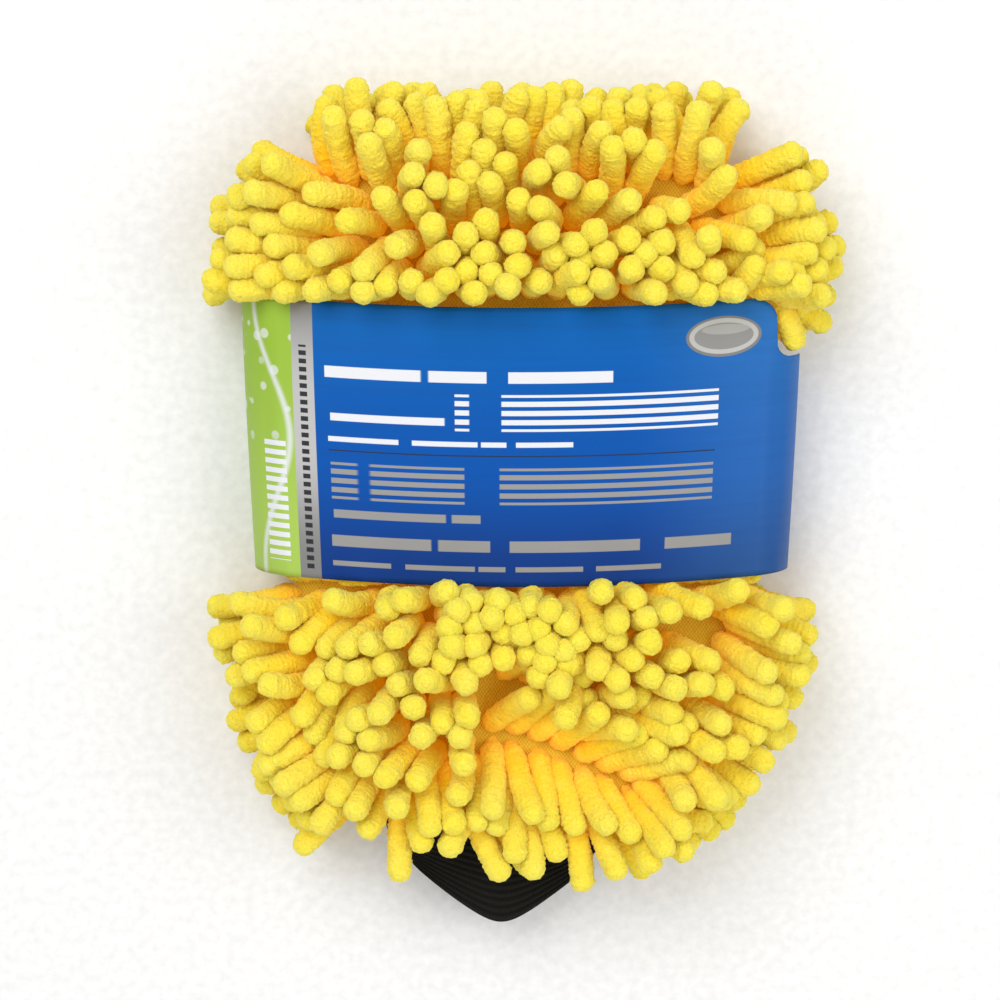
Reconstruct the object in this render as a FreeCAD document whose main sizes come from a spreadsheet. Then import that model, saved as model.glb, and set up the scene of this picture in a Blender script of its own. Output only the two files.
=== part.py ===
"""Wash mitt: a chenille bag with a pocket for the hand, a ribbed cuff and a card sleeve round it.

The mitt lies on its back. X is its width, +Y points to the finger end, +Z up. Millimetres.
"""
import os

import FreeCAD
import Part
import Sketcher
import math

OUTPUT_FOLDER = "parts"

doc = FreeCAD.newDocument("WashMitt")
sheet = doc.addObject("Spreadsheet::Sheet", "Sizes")
sheet_row = 0


def size(alias, value, meaning):
    """Put one driving dimension into the sheet under a name."""
    global sheet_row
    sheet_row += 1
    sheet.set("A" + str(sheet_row), meaning)
    sheet.set("B" + str(sheet_row), str(value))
    sheet.setAlias("B" + str(sheet_row), alias)


def read(alias):
    """Value of a named dimension as a plain number."""
    return float(getattr(sheet, alias))


# The bag
size("mid_height", 20.0, "height of the mitt's middle plane above the surface it lies on")
size("bag_half_width", 75.0, "half width of the fabric bag")
size("bag_half_height", 10.0, "half thickness of the fabric bag")
size("finger_end_y", 109.2, "where the bag ends at the fingers")
size("shoulder_y", -24.0, "where the bag starts to narrow towards the wrist")
size("waist_y", -70.0, "second corner of the narrowing")
size("waist_left_in", 8.0, "how far the left edge has come in at the second corner")
size("waist_right_in", 15.0, "how far the right edge has come in at the second corner")
size("wrist_y", -112.0, "end of the bag's outline before the mouth is trimmed")
size("wrist_left_x", -42.0, "left edge of the outline at its wrist end")
size("wrist_right_x", 28.0, "right edge of the outline at its wrist end")
size("mouth_y", -100.0, "where the fabric ends at the wrist")
size("finger_corner_radius", 32.0, "rounding of the two finger corners, in plan")
size("taper_corner_radius", 30.0, "rounding of the corners of the narrowing, in plan")
size("rim_land", 1.0, "flat left between the rounded rims of the two faces, halved")
# Layers, as insets from the outside of the bag
size("outer_inset", 0.0, "outside of the ground fabric")
size("ground_inset", 2.0, "inside of the ground fabric")
size("tape_outer_inset", 2.2, "outside of the seam tape")
size("tape_inner_inset", 3.2, "inside of the seam tape, and outside of its thread")
size("thread_inset", 3.9, "inside of the seam thread")
size("lining_outer_inset", 4.3, "outside of the lining")
size("lining_inset", 5.3, "inside of the lining")
size("strip_inset", -1.0, "outside of the woven strips that carry the noodles")
size("taper_inset_factor", 1.2, "sideways inset of the slanted edges for one of the straight ones")
size("tape_half_width", 4.0, "half width of the seam tape")
size("seam_thread_half_width", 0.5, "half width of the seam thread")
size("seam_end_gap", 1.0, "seam tape stops this far before the mouth")
# Noodles
size("noodle_radius", 4.0, "radius of one chenille noodle")
size("noodle_reach", 28.0, "free length of a noodle")
size("root_share", 0.9, "how deep a noodle is rooted in the bag, in radii")
size("noodle_gap", 1.0, "gap between two noodles of a row")
size("row_side_margin", 12.0, "least distance of a row's last noodle from the bag's side")
size("row_pitch", 12.0, "spacing of the rows")
size("first_row_gap", 4.0, "gap between the noodles of the first two rows")
size("wrist_row_gap", 6.0, "distance from the sleeve to the nearest row towards the wrist")
size("finger_row_gap", 6.7, "distance from the sleeve to the nearest row towards the fingers")
size("last_row_margin", 12.7, "distance of the last row from the finger end")
size("last_row_step", 13.0, "spacing of the last two rows")
size("mouth_middle", 20.0, "half of the stretch where a row may come close to the mouth")
size("edge_row_low_gap", 3.0, "distance of the edge rows under the sleeve from its lower edge")
size("edge_row_high_gap", 3.3, "distance of the edge rows under the sleeve from its upper edge")
size("edge_finger_gap", 3.2, "distance from the sleeve to the edge rows of the fingers")
size("edge_wrist_gap", 2.5, "distance from the sleeve to the edge rows of the wrist")
size("edge_mouth_gap", 6.0, "distance from the mouth to the edge rows of the wrist")
size("edge_left_in", 45.0, "how far in the left edge row of the wrist may come")
size("edge_right_in", 55.0, "how far in the right edge row of the wrist may come")
size("edge_middle_in", 25.0, "how far in the edge rows under the sleeve may come")
size("edge_corner_in", 33.0, "where the edge rows of the fingers end, from the bag's side")
size("end_row_gap", 1.0, "gap between the finger end row and its neighbours")
size("end_row_depth", 29.2, "how far down from the finger end the end row may come")
size("edge_straight_in", 15.0, "edge noodles this close to the bag's side need no margin across")
size("edge_margin", 0.6, "distance of an edge noodle from the end of its stretch")
size("edge_margin_cut", 2.0, "what that distance loses along the mitt")
size("edge_pitch_extra", 0.2, "extra spacing of the edge noodles")
size("row_edge_distance", 12.0, "least distance of a row's noodle from the bag's edge")
size("side_fan_degrees", 22.0, "lean of the outermost noodles of a row")
size("strip_half_width", 2.0, "half width of the strip that carries a row")
size("edge_strip_half_height", 7.0, "half width of the strip round the edge")
size("edge_front_degrees", 35.0, "rise of the edge noodles of the front")
size("edge_back_degrees", 20.0, "fall of the edge noodles of the back")
size("sleeve_clearance", 0.6, "gap left between the noodles and the sleeve")
# Cuff
size("cuff_centre_shift", 0.5, "middle of the cuff, from the middle of the outline's wrist end")
size("binding_length", 3.0, "length of the binding between bag and cuff")
size("cuff_start_out", 6.0, "half width of the cuff at the binding, over that of the outline's wrist end")
size("cuff_start_half_height", 9.2, "cuff at the binding")
size("cuff_bend_reach", 17.0, "distance from the mouth to where the cuff has drawn in")
size("cuff_bend_half_width", 31.0, "cuff where it has drawn in")
size("cuff_bend_half_height", 7.5, "cuff where it has drawn in")
size("cuff_bend_drop", 1.0, "sag of the cuff where it has drawn in")
size("cuff_tip_reach", 38.0, "distance from the mouth to the end of the cuff's form before it is trimmed")
size("cuff_tip_half_width", 28.0, "cuff at its free end")
size("cuff_tip_half_height", 6.5, "cuff at its free end")
size("cuff_tip_drop", 2.5, "sag of the cuff at its free end")
size("cuff_wall", 2.0, "thickness of the ribbed elastic")
size("cuff_arc_centre_rise", 0.7, "centre of the arc of the free edge, above the mouth")
size("cuff_arc_radius", 35.7, "radius of the arc of the free edge")
size("rib_pitch", 2.4, "spacing of the ribs")
size("rib_groove_width", 0.9, "width of the groove between two ribs")
size("rib_groove_depth", 0.5, "depth of the groove between two ribs")
size("rib_count", 7, "number of grooves")
size("cuff_thread_reach", 2.0, "distance from the mouth to the cuff's thread on the binding")
size("cuff_thread_width", 1.0, "width of the cuff's thread")
# Sleeve
size("sleeve_low_y", -24.0, "lower edge of the card sleeve")
size("sleeve_high_y", 64.3, "upper edge of the card sleeve")
size("sleeve_side_room", 15.5, "how far the sleeve's sides stand off the bag's")
size("sleeve_fold_room", 3.0, "how far the folds of its two broad panels stand outside the bag's sides")
size("sleeve_front_crown", 21.0, "height of the front panel over the middle plane, in the middle")
size("sleeve_front_fold", 17.0, "height of the front panel over the middle plane, at its folds")
size("sleeve_back_crown", 19.0, "depth of the back panel under the middle plane, in the middle")
size("sleeve_back_fold", 17.0, "depth of the back panel under the middle plane, at its folds")
size("card_thickness", 0.5, "thickness of the card")
size("glue_thickness", 0.15, "thickness of the glue")
size("flap_start_in", 42.0, "distance from the fold to where the card steps inwards for the glued flap")
size("flap_step", 3.7, "length of the step")
size("slit_width", 0.3, "gap between the step and the outer edge of the card")
size("flap_length", 15.3, "length of the glued flap")
size("glue_margin", 0.8, "bare border of the flap beside the glue")
size("notch_width", 9.2, "width of the die-cut notch, from the sleeve's side")
size("notch_height", 19.3, "height of the die-cut notch, from the sleeve's upper edge")
size("notch_corner_width", 8.7, "width of the rounded corner beside the notch")
size("notch_corner_height", 8.3, "height of the rounded corner beside the notch")
size("notch_inner_radius", 5.0, "inner rounding of the notch")
size("beyond", 60.0, "overshoot of trimming boxes")
doc.recompute()

MID = read("mid_height")
RIM_RADIUS = read("bag_half_height") - read("rim_land")
HALF_WIDTH = read("bag_half_width")
SLEEVE_HALF = HALF_WIDTH + read("sleeve_side_room")
SLEEVE_FOLD = HALF_WIDTH + read("sleeve_fold_room")
SLEEVE_LOW = read("sleeve_low_y")
SLEEVE_HIGH = read("sleeve_high_y")
FLAP_START = SLEEVE_FOLD - read("flap_start_in")
FLAP_JOIN = FLAP_START + read("flap_step")
FLAP_END = FLAP_JOIN + read("flap_length")
NOTCH_X = SLEEVE_HALF - read("notch_width")
NOTCH_Y = SLEEVE_HIGH - read("notch_height")
NOTCH_CORNER_X = NOTCH_X - read("notch_corner_width")
NOTCH_ROUND_Y = SLEEVE_HIGH - read("notch_corner_height")
HALF_ROOT = math.sqrt(0.5)
CLEARLY = 1.0  # a difference of more than this is no rounding error
LEVEL = 0.01  # a difference of less than this is one
OVERSHOOT = 5.0  # tools reach this far past what they trim
SCAN_STEP = 0.5  # places for noodles are looked for this close together


def cushion(name, inset):
    """Solid with the bag's outline, inset all round, with rounded rims on both faces."""
    depth = read(inset)
    slant = "Sizes." + inset + " * Sizes.taper_inset_factor"
    straight = "Sizes." + inset
    corners = (
        ("-Sizes.bag_half_width + " + straight, "Sizes.finger_end_y - " + straight),
        ("Sizes.bag_half_width - " + straight, "Sizes.finger_end_y - " + straight),
        ("Sizes.bag_half_width - " + straight, "Sizes.shoulder_y"),
        ("Sizes.bag_half_width - Sizes.waist_right_in - " + slant, "Sizes.waist_y"),
        ("Sizes.wrist_right_x - " + slant, "Sizes.wrist_y"),
        ("Sizes.wrist_left_x + " + slant, "Sizes.wrist_y"),
        ("-Sizes.bag_half_width + Sizes.waist_left_in + " + slant, "Sizes.waist_y"),
        ("-Sizes.bag_half_width + " + straight, "Sizes.shoulder_y"),
    )
    points = outline_corners(depth)
    body = doc.addObject("PartDesign::Body", name)
    sketch = body.newObject("Sketcher::SketchObject", name + "Outline")
    for feature in body.Origin.OriginFeatures:
        if feature.Role == "XY_Plane":
            sketch.AttachmentSupport = (feature, [""])
    sketch.MapMode = "FlatFace"
    count = len(points)
    for index in range(count):
        start = FreeCAD.Vector(points[index][0], points[index][1], 0)
        after = points[(index + 1) % count]
        end = FreeCAD.Vector(after[0], after[1], 0)
        sketch.addGeometry(Part.LineSegment(start, end), False)
    for index in range(count):
        after = (index + 1) % count
        sketch.addConstraint(Sketcher.Constraint("Coincident", index, 2, after, 1))
    for index in range(count):
        for axis, kind in ((0, "DistanceX"), (1, "DistanceY")):
            value = points[index][axis]
            number = sketch.addConstraint(Sketcher.Constraint(kind, -1, 1, index, 1, value))
            sketch.setExpression("Constraints[" + str(number) + "]", corners[index][axis])
    pad = body.newObject("PartDesign::Pad", name + "Pad")
    pad.Profile = sketch
    pad.Midplane = True
    pad.setExpression("Length", "2 * (Sizes.bag_half_height - " + straight + ")")
    doc.recompute()
    tall = [[], []]
    for number, edge in enumerate(pad.Shape.Edges):
        ends = edge.Vertexes
        upright = abs(ends[0].Z - ends[1].Z) > CLEARLY
        if upright and ends[0].Y > 0.0:
            tall[0].append("Edge" + str(number + 1))
        elif upright and ends[0].Y > read("wrist_y") + CLEARLY:
            tall[1].append("Edge" + str(number + 1))
    finger = body.newObject("PartDesign::Fillet", name + "FingerCorners")
    finger.Base = (pad, tall[0])
    finger.setExpression("Radius", "Sizes.finger_corner_radius - " + straight)
    doc.recompute()
    tapered = []
    for number, edge in enumerate(finger.Shape.Edges):
        ends = edge.Vertexes
        upright = len(ends) == 2 and abs(ends[0].Z - ends[1].Z) > CLEARLY
        if upright and read("wrist_y") + CLEARLY < ends[0].Y < read("shoulder_y") + CLEARLY:
            tapered.append("Edge" + str(number + 1))
    taper = body.newObject("PartDesign::Fillet", name + "TaperCorners")
    taper.Base = (finger, tapered)
    taper.setExpression("Radius", "Sizes.taper_corner_radius - " + straight)
    doc.recompute()
    rims = []
    for number, edge in enumerate(taper.Shape.Edges):
        limits = edge.BoundBox
        if limits.ZLength < LEVEL and limits.YMax > read("wrist_y") + CLEARLY:
            rims.append("Edge" + str(number + 1))
    rounded = body.newObject("PartDesign::Fillet", name + "Rims")
    rounded.Base = (taper, rims)
    rounded.setExpression("Radius", "Sizes.bag_half_height - Sizes.rim_land - " + straight)
    body.Tip = rounded
    body.setExpression("Placement.Base.z", "Sizes.mid_height")
    doc.recompute()
    return body


def outline_corners(depth):
    """Corners of the bag's outline at an inset, as plain numbers."""
    half = read("bag_half_width") - depth
    top = read("finger_end_y") - depth
    slant = depth * read("taper_inset_factor")
    return (
        (-half, top),
        (half, top),
        (half, read("shoulder_y")),
        (read("bag_half_width") - read("waist_right_in") - slant, read("waist_y")),
        (read("wrist_right_x") - slant, read("wrist_y")),
        (read("wrist_left_x") + slant, read("wrist_y")),
        (-read("bag_half_width") + read("waist_left_in") + slant, read("waist_y")),
        (-half, read("shoulder_y")),
    )


def box(name, x_range, y_range, z_range):
    """Box whose six limits are expressions on the sheet."""
    solid = doc.addObject("Part::Box", name)
    sides = ("Length", "Width", "Height")
    for side, axis, limits in zip(sides, "xyz", (x_range, y_range, z_range)):
        solid.setExpression(side, "(" + limits[1] + ") - (" + limits[0] + ")")
        solid.setExpression("Placement.Base." + axis, limits[0])
    return solid


def cut(name, base, tool):
    """Base minus tool."""
    result = doc.addObject("Part::Cut", name)
    result.Base = base
    result.Tool = tool
    return result


def common(name, base, tool):
    """What base and tool share."""
    result = doc.addObject("Part::Common", name)
    result.Base = base
    result.Tool = tool
    return result


pieces = []


def keep(name, piece):
    """Give a finished sub-part its name and list it for export."""
    piece.Label = name
    pieces.append((name, piece))


# Nested outlines of the layers
outer_form = cushion("OuterForm", "outer_inset")
ground_form = cushion("GroundInside", "ground_inset")
tape_outer_form = cushion("TapeOutside", "tape_outer_inset")
tape_inner_form = cushion("TapeInside", "tape_inner_inset")
thread_form = cushion("ThreadInside", "thread_inset")
lining_outer_form = cushion("LiningOutside", "lining_outer_inset")
lining_form = cushion("LiningInside", "lining_inset")
strip_form = cushion("StripOutside", "strip_inset")

WIDE = ("-Sizes.bag_half_width - Sizes.beyond", "Sizes.bag_half_width + Sizes.beyond")
LONG = ("Sizes.mouth_y", "Sizes.finger_end_y + Sizes.beyond")
UPPER = ("Sizes.mid_height", "Sizes.mid_height + Sizes.beyond")
LOWER = ("Sizes.mid_height - Sizes.beyond", "Sizes.mid_height")

# Ground fabric and lining: two shallow trays each, open at the mouth
ground_shell = cut("GroundShell", outer_form, ground_form)
front_ground = common("FrontGround", ground_shell, box("FrontHalf", WIDE, LONG, UPPER))
back_ground = common("BackGround", ground_shell, box("BackHalf", WIDE, LONG, LOWER))
keep("front_ground_fabric", front_ground)
keep("back_ground_fabric", back_ground)
lining_shell = cut("LiningShell", lining_outer_form, lining_form)
front_lining = common("FrontLining", lining_shell, box("FrontLiningHalf", WIDE, LONG, UPPER))
back_lining = common("BackLining", lining_shell, box("BackLiningHalf", WIDE, LONG, LOWER))
keep("front_lining", front_lining)
keep("back_lining", back_lining)

# Seam tape and its thread, between the ground fabric and the lining
SEAM_LONG = ("Sizes.mouth_y + Sizes.seam_end_gap", "Sizes.finger_end_y + Sizes.beyond")
tape_shell = cut("TapeShell", tape_outer_form, tape_inner_form)
tape_band = box(
    "TapeBand", WIDE, SEAM_LONG,
    ("Sizes.mid_height - Sizes.tape_half_width", "Sizes.mid_height + Sizes.tape_half_width"))
keep("edge_seam_tape", common("EdgeSeamTape", tape_shell, tape_band))
thread_shell = cut("ThreadShell", tape_inner_form, thread_form)
thread_band = box(
    "ThreadBand", WIDE, SEAM_LONG,
    ("Sizes.mid_height - Sizes.seam_thread_half_width",
     "Sizes.mid_height + Sizes.seam_thread_half_width"))
keep("edge_seam_thread", common("EdgeSeamThread", thread_shell, thread_band))

# Binding that closes the mouth's raw edges, and the thread over it
BINDING_LONG = ("Sizes.mouth_y - Sizes.binding_length", "Sizes.mouth_y")
ALL_HIGH = ("Sizes.mid_height - Sizes.beyond", "Sizes.mid_height + Sizes.beyond")
binding_shell = cut("BindingShell", outer_form, lining_form)
binding_slab = box("BindingSlab", WIDE, BINDING_LONG, ALL_HIGH)
keep("cuff_seam_binding", common("CuffSeamBinding", binding_shell, binding_slab))
strip_shell = cut("StripShell", strip_form, outer_form)
thread_slab = box(
    "CuffThreadSlab", WIDE,
    ("Sizes.mouth_y - Sizes.cuff_thread_reach",
     "Sizes.mouth_y - Sizes.cuff_thread_reach + Sizes.cuff_thread_width"), ALL_HIGH)
keep("cuff_seam_thread", common("CuffSeamThread", strip_shell, thread_slab))
doc.recompute()

# Cuff: three ellipses lofted into a flattened tube, trimmed to its arc and grooved
CUFF_CENTRE = "(Sizes.wrist_left_x + Sizes.wrist_right_x) / 2 + Sizes.cuff_centre_shift"
CUFF_START_HALF = "(Sizes.wrist_right_x - Sizes.wrist_left_x) / 2 + Sizes.cuff_start_out"
CUFF_BEND_Y = "Sizes.mouth_y - Sizes.cuff_bend_reach"
CUFF_ARC_Y = "Sizes.mouth_y + Sizes.cuff_arc_centre_rise"
CUFF_SECTIONS = (
    ("Start", CUFF_START_HALF, "Sizes.mouth_y - Sizes.binding_length", "Sizes.mid_height"),
    ("Bend", "Sizes.cuff_bend_half_width", CUFF_BEND_Y, "Sizes.mid_height - Sizes.cuff_bend_drop"),
    ("Tip", "Sizes.cuff_tip_half_width", "Sizes.mouth_y - Sizes.cuff_tip_reach",
     "Sizes.mid_height - Sizes.cuff_tip_drop"),
)
UPRIGHT = FreeCAD.Rotation(FreeCAD.Vector(1, 0, 0), 90.0)


def cuff_form(name, inset):
    """Flattened tube of the cuff, thinner all round by an inset."""
    rings = []
    for section, half_width, y_place, z_place in CUFF_SECTIONS:
        ring = doc.addObject("Part::Ellipse", name + section)
        half_height = "Sizes.cuff_" + section.lower() + "_half_height"
        ring.setExpression("MajorRadius", half_width + " - (" + inset + ")")
        ring.setExpression("MinorRadius", half_height + " - (" + inset + ")")
        ring.Placement = FreeCAD.Placement(FreeCAD.Vector(0, 0, 0), UPRIGHT)
        ring.setExpression("Placement.Base.x", CUFF_CENTRE)
        ring.setExpression("Placement.Base.y", y_place)
        ring.setExpression("Placement.Base.z", z_place)
        rings.append(ring)
    loft = doc.addObject("Part::Loft", name)
    loft.Sections = rings
    loft.Solid = True
    return loft


cuff_outside = cuff_form("CuffOutside", "0")
cuff_inside = cuff_form("CuffInside", "Sizes.cuff_wall")
cuff_core = cuff_form("CuffCore", "Sizes.rib_groove_depth")
doc.recompute()

cuff_arc = doc.addObject("Part::Cylinder", "CuffArc")
cuff_arc.setExpression("Radius", "Sizes.cuff_arc_radius")
cuff_arc.setExpression("Height", "2 * Sizes.beyond")
cuff_arc.setExpression("Placement.Base.x", CUFF_CENTRE)
cuff_arc.setExpression("Placement.Base.y", CUFF_ARC_Y)
cuff_arc.setExpression("Placement.Base.z", "Sizes.mid_height - Sizes.beyond")
cuff_block = box("CuffBlock", WIDE, (CUFF_BEND_Y, "Sizes.mouth_y"), ALL_HIGH)
cuff_edge = doc.addObject("Part::Fuse", "CuffEdge")
cuff_edge.Base = cuff_arc
cuff_edge.Tool = cuff_block
cuff_tube = cut("CuffTube", cuff_outside, cuff_inside)
cuff_trimmed = common("CuffTrimmed", cuff_tube, cuff_edge)
doc.recompute()

groove_rings = []
arc_centre = FreeCAD.Vector(cuff_arc.Placement.Base.x, cuff_arc.Placement.Base.y, 0.0)
for rib in range(int(read("rib_count"))):
    reach = read("cuff_arc_radius") - (rib + 1) * read("rib_pitch")
    ring_outer = Part.makeCylinder(reach, 2 * read("beyond"), arc_centre)
    ring_inner = Part.makeCylinder(reach - read("rib_groove_width"), 2 * read("beyond"), arc_centre)
    groove_rings.append(ring_outer.cut(ring_inner))
grooves = doc.addObject("Part::Feature", "RibGrooves")
skin = cuff_outside.Shape.cut(cuff_core.Shape)
grooves.Shape = groove_rings[0].multiFuse(groove_rings[1:]).common(skin)
keep("ribbed_elastic_cuff", cut("RibbedElasticCuff", cuff_trimmed, grooves))
doc.recompute()


# Card sleeve
def sleeve_section(inset):
    """Closed outline of the sleeve in its upright plane, inset all round."""
    front_height = MID + read("sleeve_front_fold")
    back_height = MID - read("sleeve_back_fold")
    front_fold = FreeCAD.Vector(SLEEVE_FOLD, SLEEVE_LOW, front_height)
    back_fold = FreeCAD.Vector(SLEEVE_FOLD, SLEEVE_LOW, back_height)
    left_front = FreeCAD.Vector(-SLEEVE_FOLD, SLEEVE_LOW, front_height)
    left_back = FreeCAD.Vector(-SLEEVE_FOLD, SLEEVE_LOW, back_height)
    crown = FreeCAD.Vector(0, SLEEVE_LOW, MID + read("sleeve_front_crown"))
    foot = FreeCAD.Vector(0, SLEEVE_LOW, MID - read("sleeve_back_crown"))
    edges = [
        Part.Arc(left_front, crown, front_fold).toShape(),
        Part.Arc(front_fold, FreeCAD.Vector(SLEEVE_HALF, SLEEVE_LOW, MID), back_fold).toShape(),
        Part.Arc(back_fold, foot, left_back).toShape(),
        Part.Arc(left_back, FreeCAD.Vector(-SLEEVE_HALF, SLEEVE_LOW, MID), left_front).toShape(),
    ]
    wire = Part.Wire(edges)
    if inset > 0:
        wire = wire.makeOffset2D(-inset)
    return wire


def sleeve_solid(inset):
    """The sleeve's section carried along its height."""
    along = FreeCAD.Vector(0, SLEEVE_HIGH - SLEEVE_LOW, 0)
    return Part.Face(sleeve_section(inset)).extrude(along)


def back_slab(x_low, x_high):
    """Box round a stretch of the sleeve's back panel."""
    low = FreeCAD.Vector(x_low, SLEEVE_LOW - OVERSHOOT, -read("beyond"))
    length = SLEEVE_HIGH - SLEEVE_LOW + 2 * OVERSHOOT
    return Part.makeBox(x_high - x_low, length, read("beyond") + MID, low)


card = read("card_thickness")
glue = read("glue_thickness")
level = [sleeve_solid(0), sleeve_solid(card), sleeve_solid(card + glue), sleeve_solid(2 * card + glue)]
slit = back_slab(FLAP_JOIN, FLAP_JOIN + read("slit_width"))
ring = level[0].cut(level[1]).cut(slit)
step = level[1].cut(level[3]).common(back_slab(FLAP_START, FLAP_JOIN))
flap = level[2].cut(level[3]).common(back_slab(FLAP_JOIN, FLAP_END))
corner_start = FreeCAD.Vector(NOTCH_CORNER_X, SLEEVE_HIGH, 0)
corner_end = FreeCAD.Vector(NOTCH_X, NOTCH_ROUND_Y, 0)
lean = HALF_ROOT * (SLEEVE_HIGH - NOTCH_ROUND_Y)
corner_middle = FreeCAD.Vector(NOTCH_CORNER_X + lean, NOTCH_ROUND_Y + lean, 0)
inner = read("notch_inner_radius")
bend_in = inner * (1 - HALF_ROOT)
bend_start = FreeCAD.Vector(NOTCH_X, NOTCH_Y + inner, 0)
bend_end = FreeCAD.Vector(NOTCH_X + inner, NOTCH_Y, 0)
bend_middle = FreeCAD.Vector(NOTCH_X + bend_in, NOTCH_Y + bend_in, 0)
far_low = FreeCAD.Vector(SLEEVE_HALF + OVERSHOOT, NOTCH_Y, 0)
far_high = FreeCAD.Vector(SLEEVE_HALF + OVERSHOOT, SLEEVE_HIGH + OVERSHOOT, 0)
near_high = FreeCAD.Vector(NOTCH_CORNER_X, SLEEVE_HIGH + OVERSHOOT, 0)
notch_wire = Part.Wire([
    Part.Arc(corner_start, corner_middle, corner_end).toShape(),
    Part.makeLine(corner_end, bend_start),
    Part.Arc(bend_start, bend_middle, bend_end).toShape(),
    Part.makeLine(bend_end, far_low),
    Part.makeLine(far_low, far_high),
    Part.makeLine(far_high, near_high),
    Part.makeLine(near_high, corner_start),
])
notch = Part.Face(notch_wire).extrude(FreeCAD.Vector(0, 0, 2 * read("beyond")))
sleeve = doc.addObject("Part::Feature", "CardSleeve")
sleeve.Shape = ring.fuse(step).fuse(flap).cut(notch).removeSplitter()
keep("card_sleeve", sleeve)
glue_slab = back_slab(
    FLAP_JOIN + read("slit_width") + read("glue_margin"),
    FLAP_END - read("glue_margin"))
glue_line = doc.addObject("Part::Feature", "SleeveGlueLine")
glue_line.Shape = level[1].cut(level[2]).common(glue_slab)
keep("sleeve_glue_line", glue_line)


# Noodles
RADIUS = read("noodle_radius")
REACH = read("noodle_reach")
SURFACE = read("bag_half_height")
NOODLE_PITCH = 2 * RADIUS + read("noodle_gap")
ROW_HALF_SPAN = HALF_WIDTH - read("row_side_margin")
FINGER_END = read("finger_end_y")
SHORTEST = 2.0
LENGTH_STEP = 0.25
SECTION_POINTS = 360
OUTLINE_POINTS = 900

limit_points = [
    (point.x, point.z)
    for point in sleeve_section(2 * card + glue + read("sleeve_clearance")).discretize(SECTION_POINTS)
]
outline_wire = None
for face in outer_form.Shape.Faces:
    flat = face.Surface.isDerivedFrom("Part::GeomPlane")
    if flat and abs(face.CenterOfMass.z - MID - SURFACE) < LEVEL:
        outline_wire = face.OuterWire
top_points = [(point.x, point.y) for point in outline_wire.discretize(OUTLINE_POINTS)]


def nearest(points, x, y):
    """Distance from a place to the closest of the points."""
    best = 1.0e9
    for across, up in points:
        gap = (across - x) ** 2 + (up - y) ** 2
        if gap < best:
            best = gap
    return math.sqrt(best)


def room_in_sleeve(x, z):
    """Whether the round end of a noodle fits under the sleeve at this place."""
    if abs(x) > SLEEVE_HALF - RADIUS:
        return False
    return nearest(limit_points, x, z) >= RADIUS


def noodle(base, direction, centre_length):
    """One noodle: a round bar with a round end, rooted a little inside the bag."""
    root = base - direction * (RADIUS * read("root_share"))
    end = base + direction * centre_length
    bar = Part.makeCylinder(RADIUS, (end - root).Length, root, direction)
    return bar.fuse(Part.makeSphere(RADIUS, end, direction))


def free_length(base, direction, under_sleeve):
    """Length to the centre of a noodle's end before the sleeve or the ground stops it."""
    length = SHORTEST
    while length < REACH - RADIUS:
        place = base + direction * length
        if place.z < RADIUS:
            break
        if under_sleeve and not room_in_sleeve(place.x, place.z):
            break
        length += LENGTH_STEP
    return length - LENGTH_STEP


WRIST_LEANS = (-28.0, -12.0, -4.0, 0.0, 0.0)
FIRST_LEAN = -50.0
FINGER_LEANS = (4.0, 14.0, 28.0)
SLEEVE_ROWS = 7


def row_table():
    """Place, lean and cover of each row, from the wrist to the fingers."""
    nearest_row = SLEEVE_LOW - read("wrist_row_gap")
    pitch = read("row_pitch")
    count = len(WRIST_LEANS)
    wrist = [nearest_row - pitch * (count - 1 - index) for index in range(count)]
    rows = [(wrist[0] - 2 * RADIUS - read("first_row_gap"), FIRST_LEAN, False)]
    rows.extend((y, lean, False) for y, lean in zip(wrist, WRIST_LEANS))
    rows.extend((nearest_row + pitch * (index + 1), 0.0, True) for index in range(SLEEVE_ROWS))
    last = FINGER_END - read("last_row_margin")
    finger = (SLEEVE_HIGH + read("finger_row_gap"), last - read("last_row_step"), last)
    rows.extend((y, lean, False) for y, lean in zip(finger, FINGER_LEANS))
    return rows


def inside_flat(x, y):
    """Whether a place lies inside the flat top of the bag."""
    crossings = 0
    count = len(top_points)
    for index in range(count):
        x_start, y_start = top_points[index]
        x_end, y_end = top_points[(index + 1) % count]
        if (y_start > y) != (y_end > y):
            meets = x_start + (y - y_start) * (x_end - x_start) / (y_end - y_start)
            if meets > x:
                crossings += 1
    return crossings % 2 == 1


def row_places(y):
    """Places across the mitt where a row has noodles, centred on the bag at that height."""
    inside = []
    x = -ROW_HALF_SPAN
    while x <= ROW_HALF_SPAN:
        clear = nearest(top_points, x, y) >= read("row_edge_distance") - RIM_RADIUS
        if inside_flat(x, y) and (clear or abs(x) < read("mouth_middle")):
            inside.append(x)
        x += SCAN_STEP
    left = inside[0]
    right = inside[-1]
    count = int((right - left) / NOODLE_PITCH) + 1
    spread = (right - left) - (count - 1) * NOODLE_PITCH
    return [left + spread / 2 + index * NOODLE_PITCH for index in range(count)]


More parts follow.
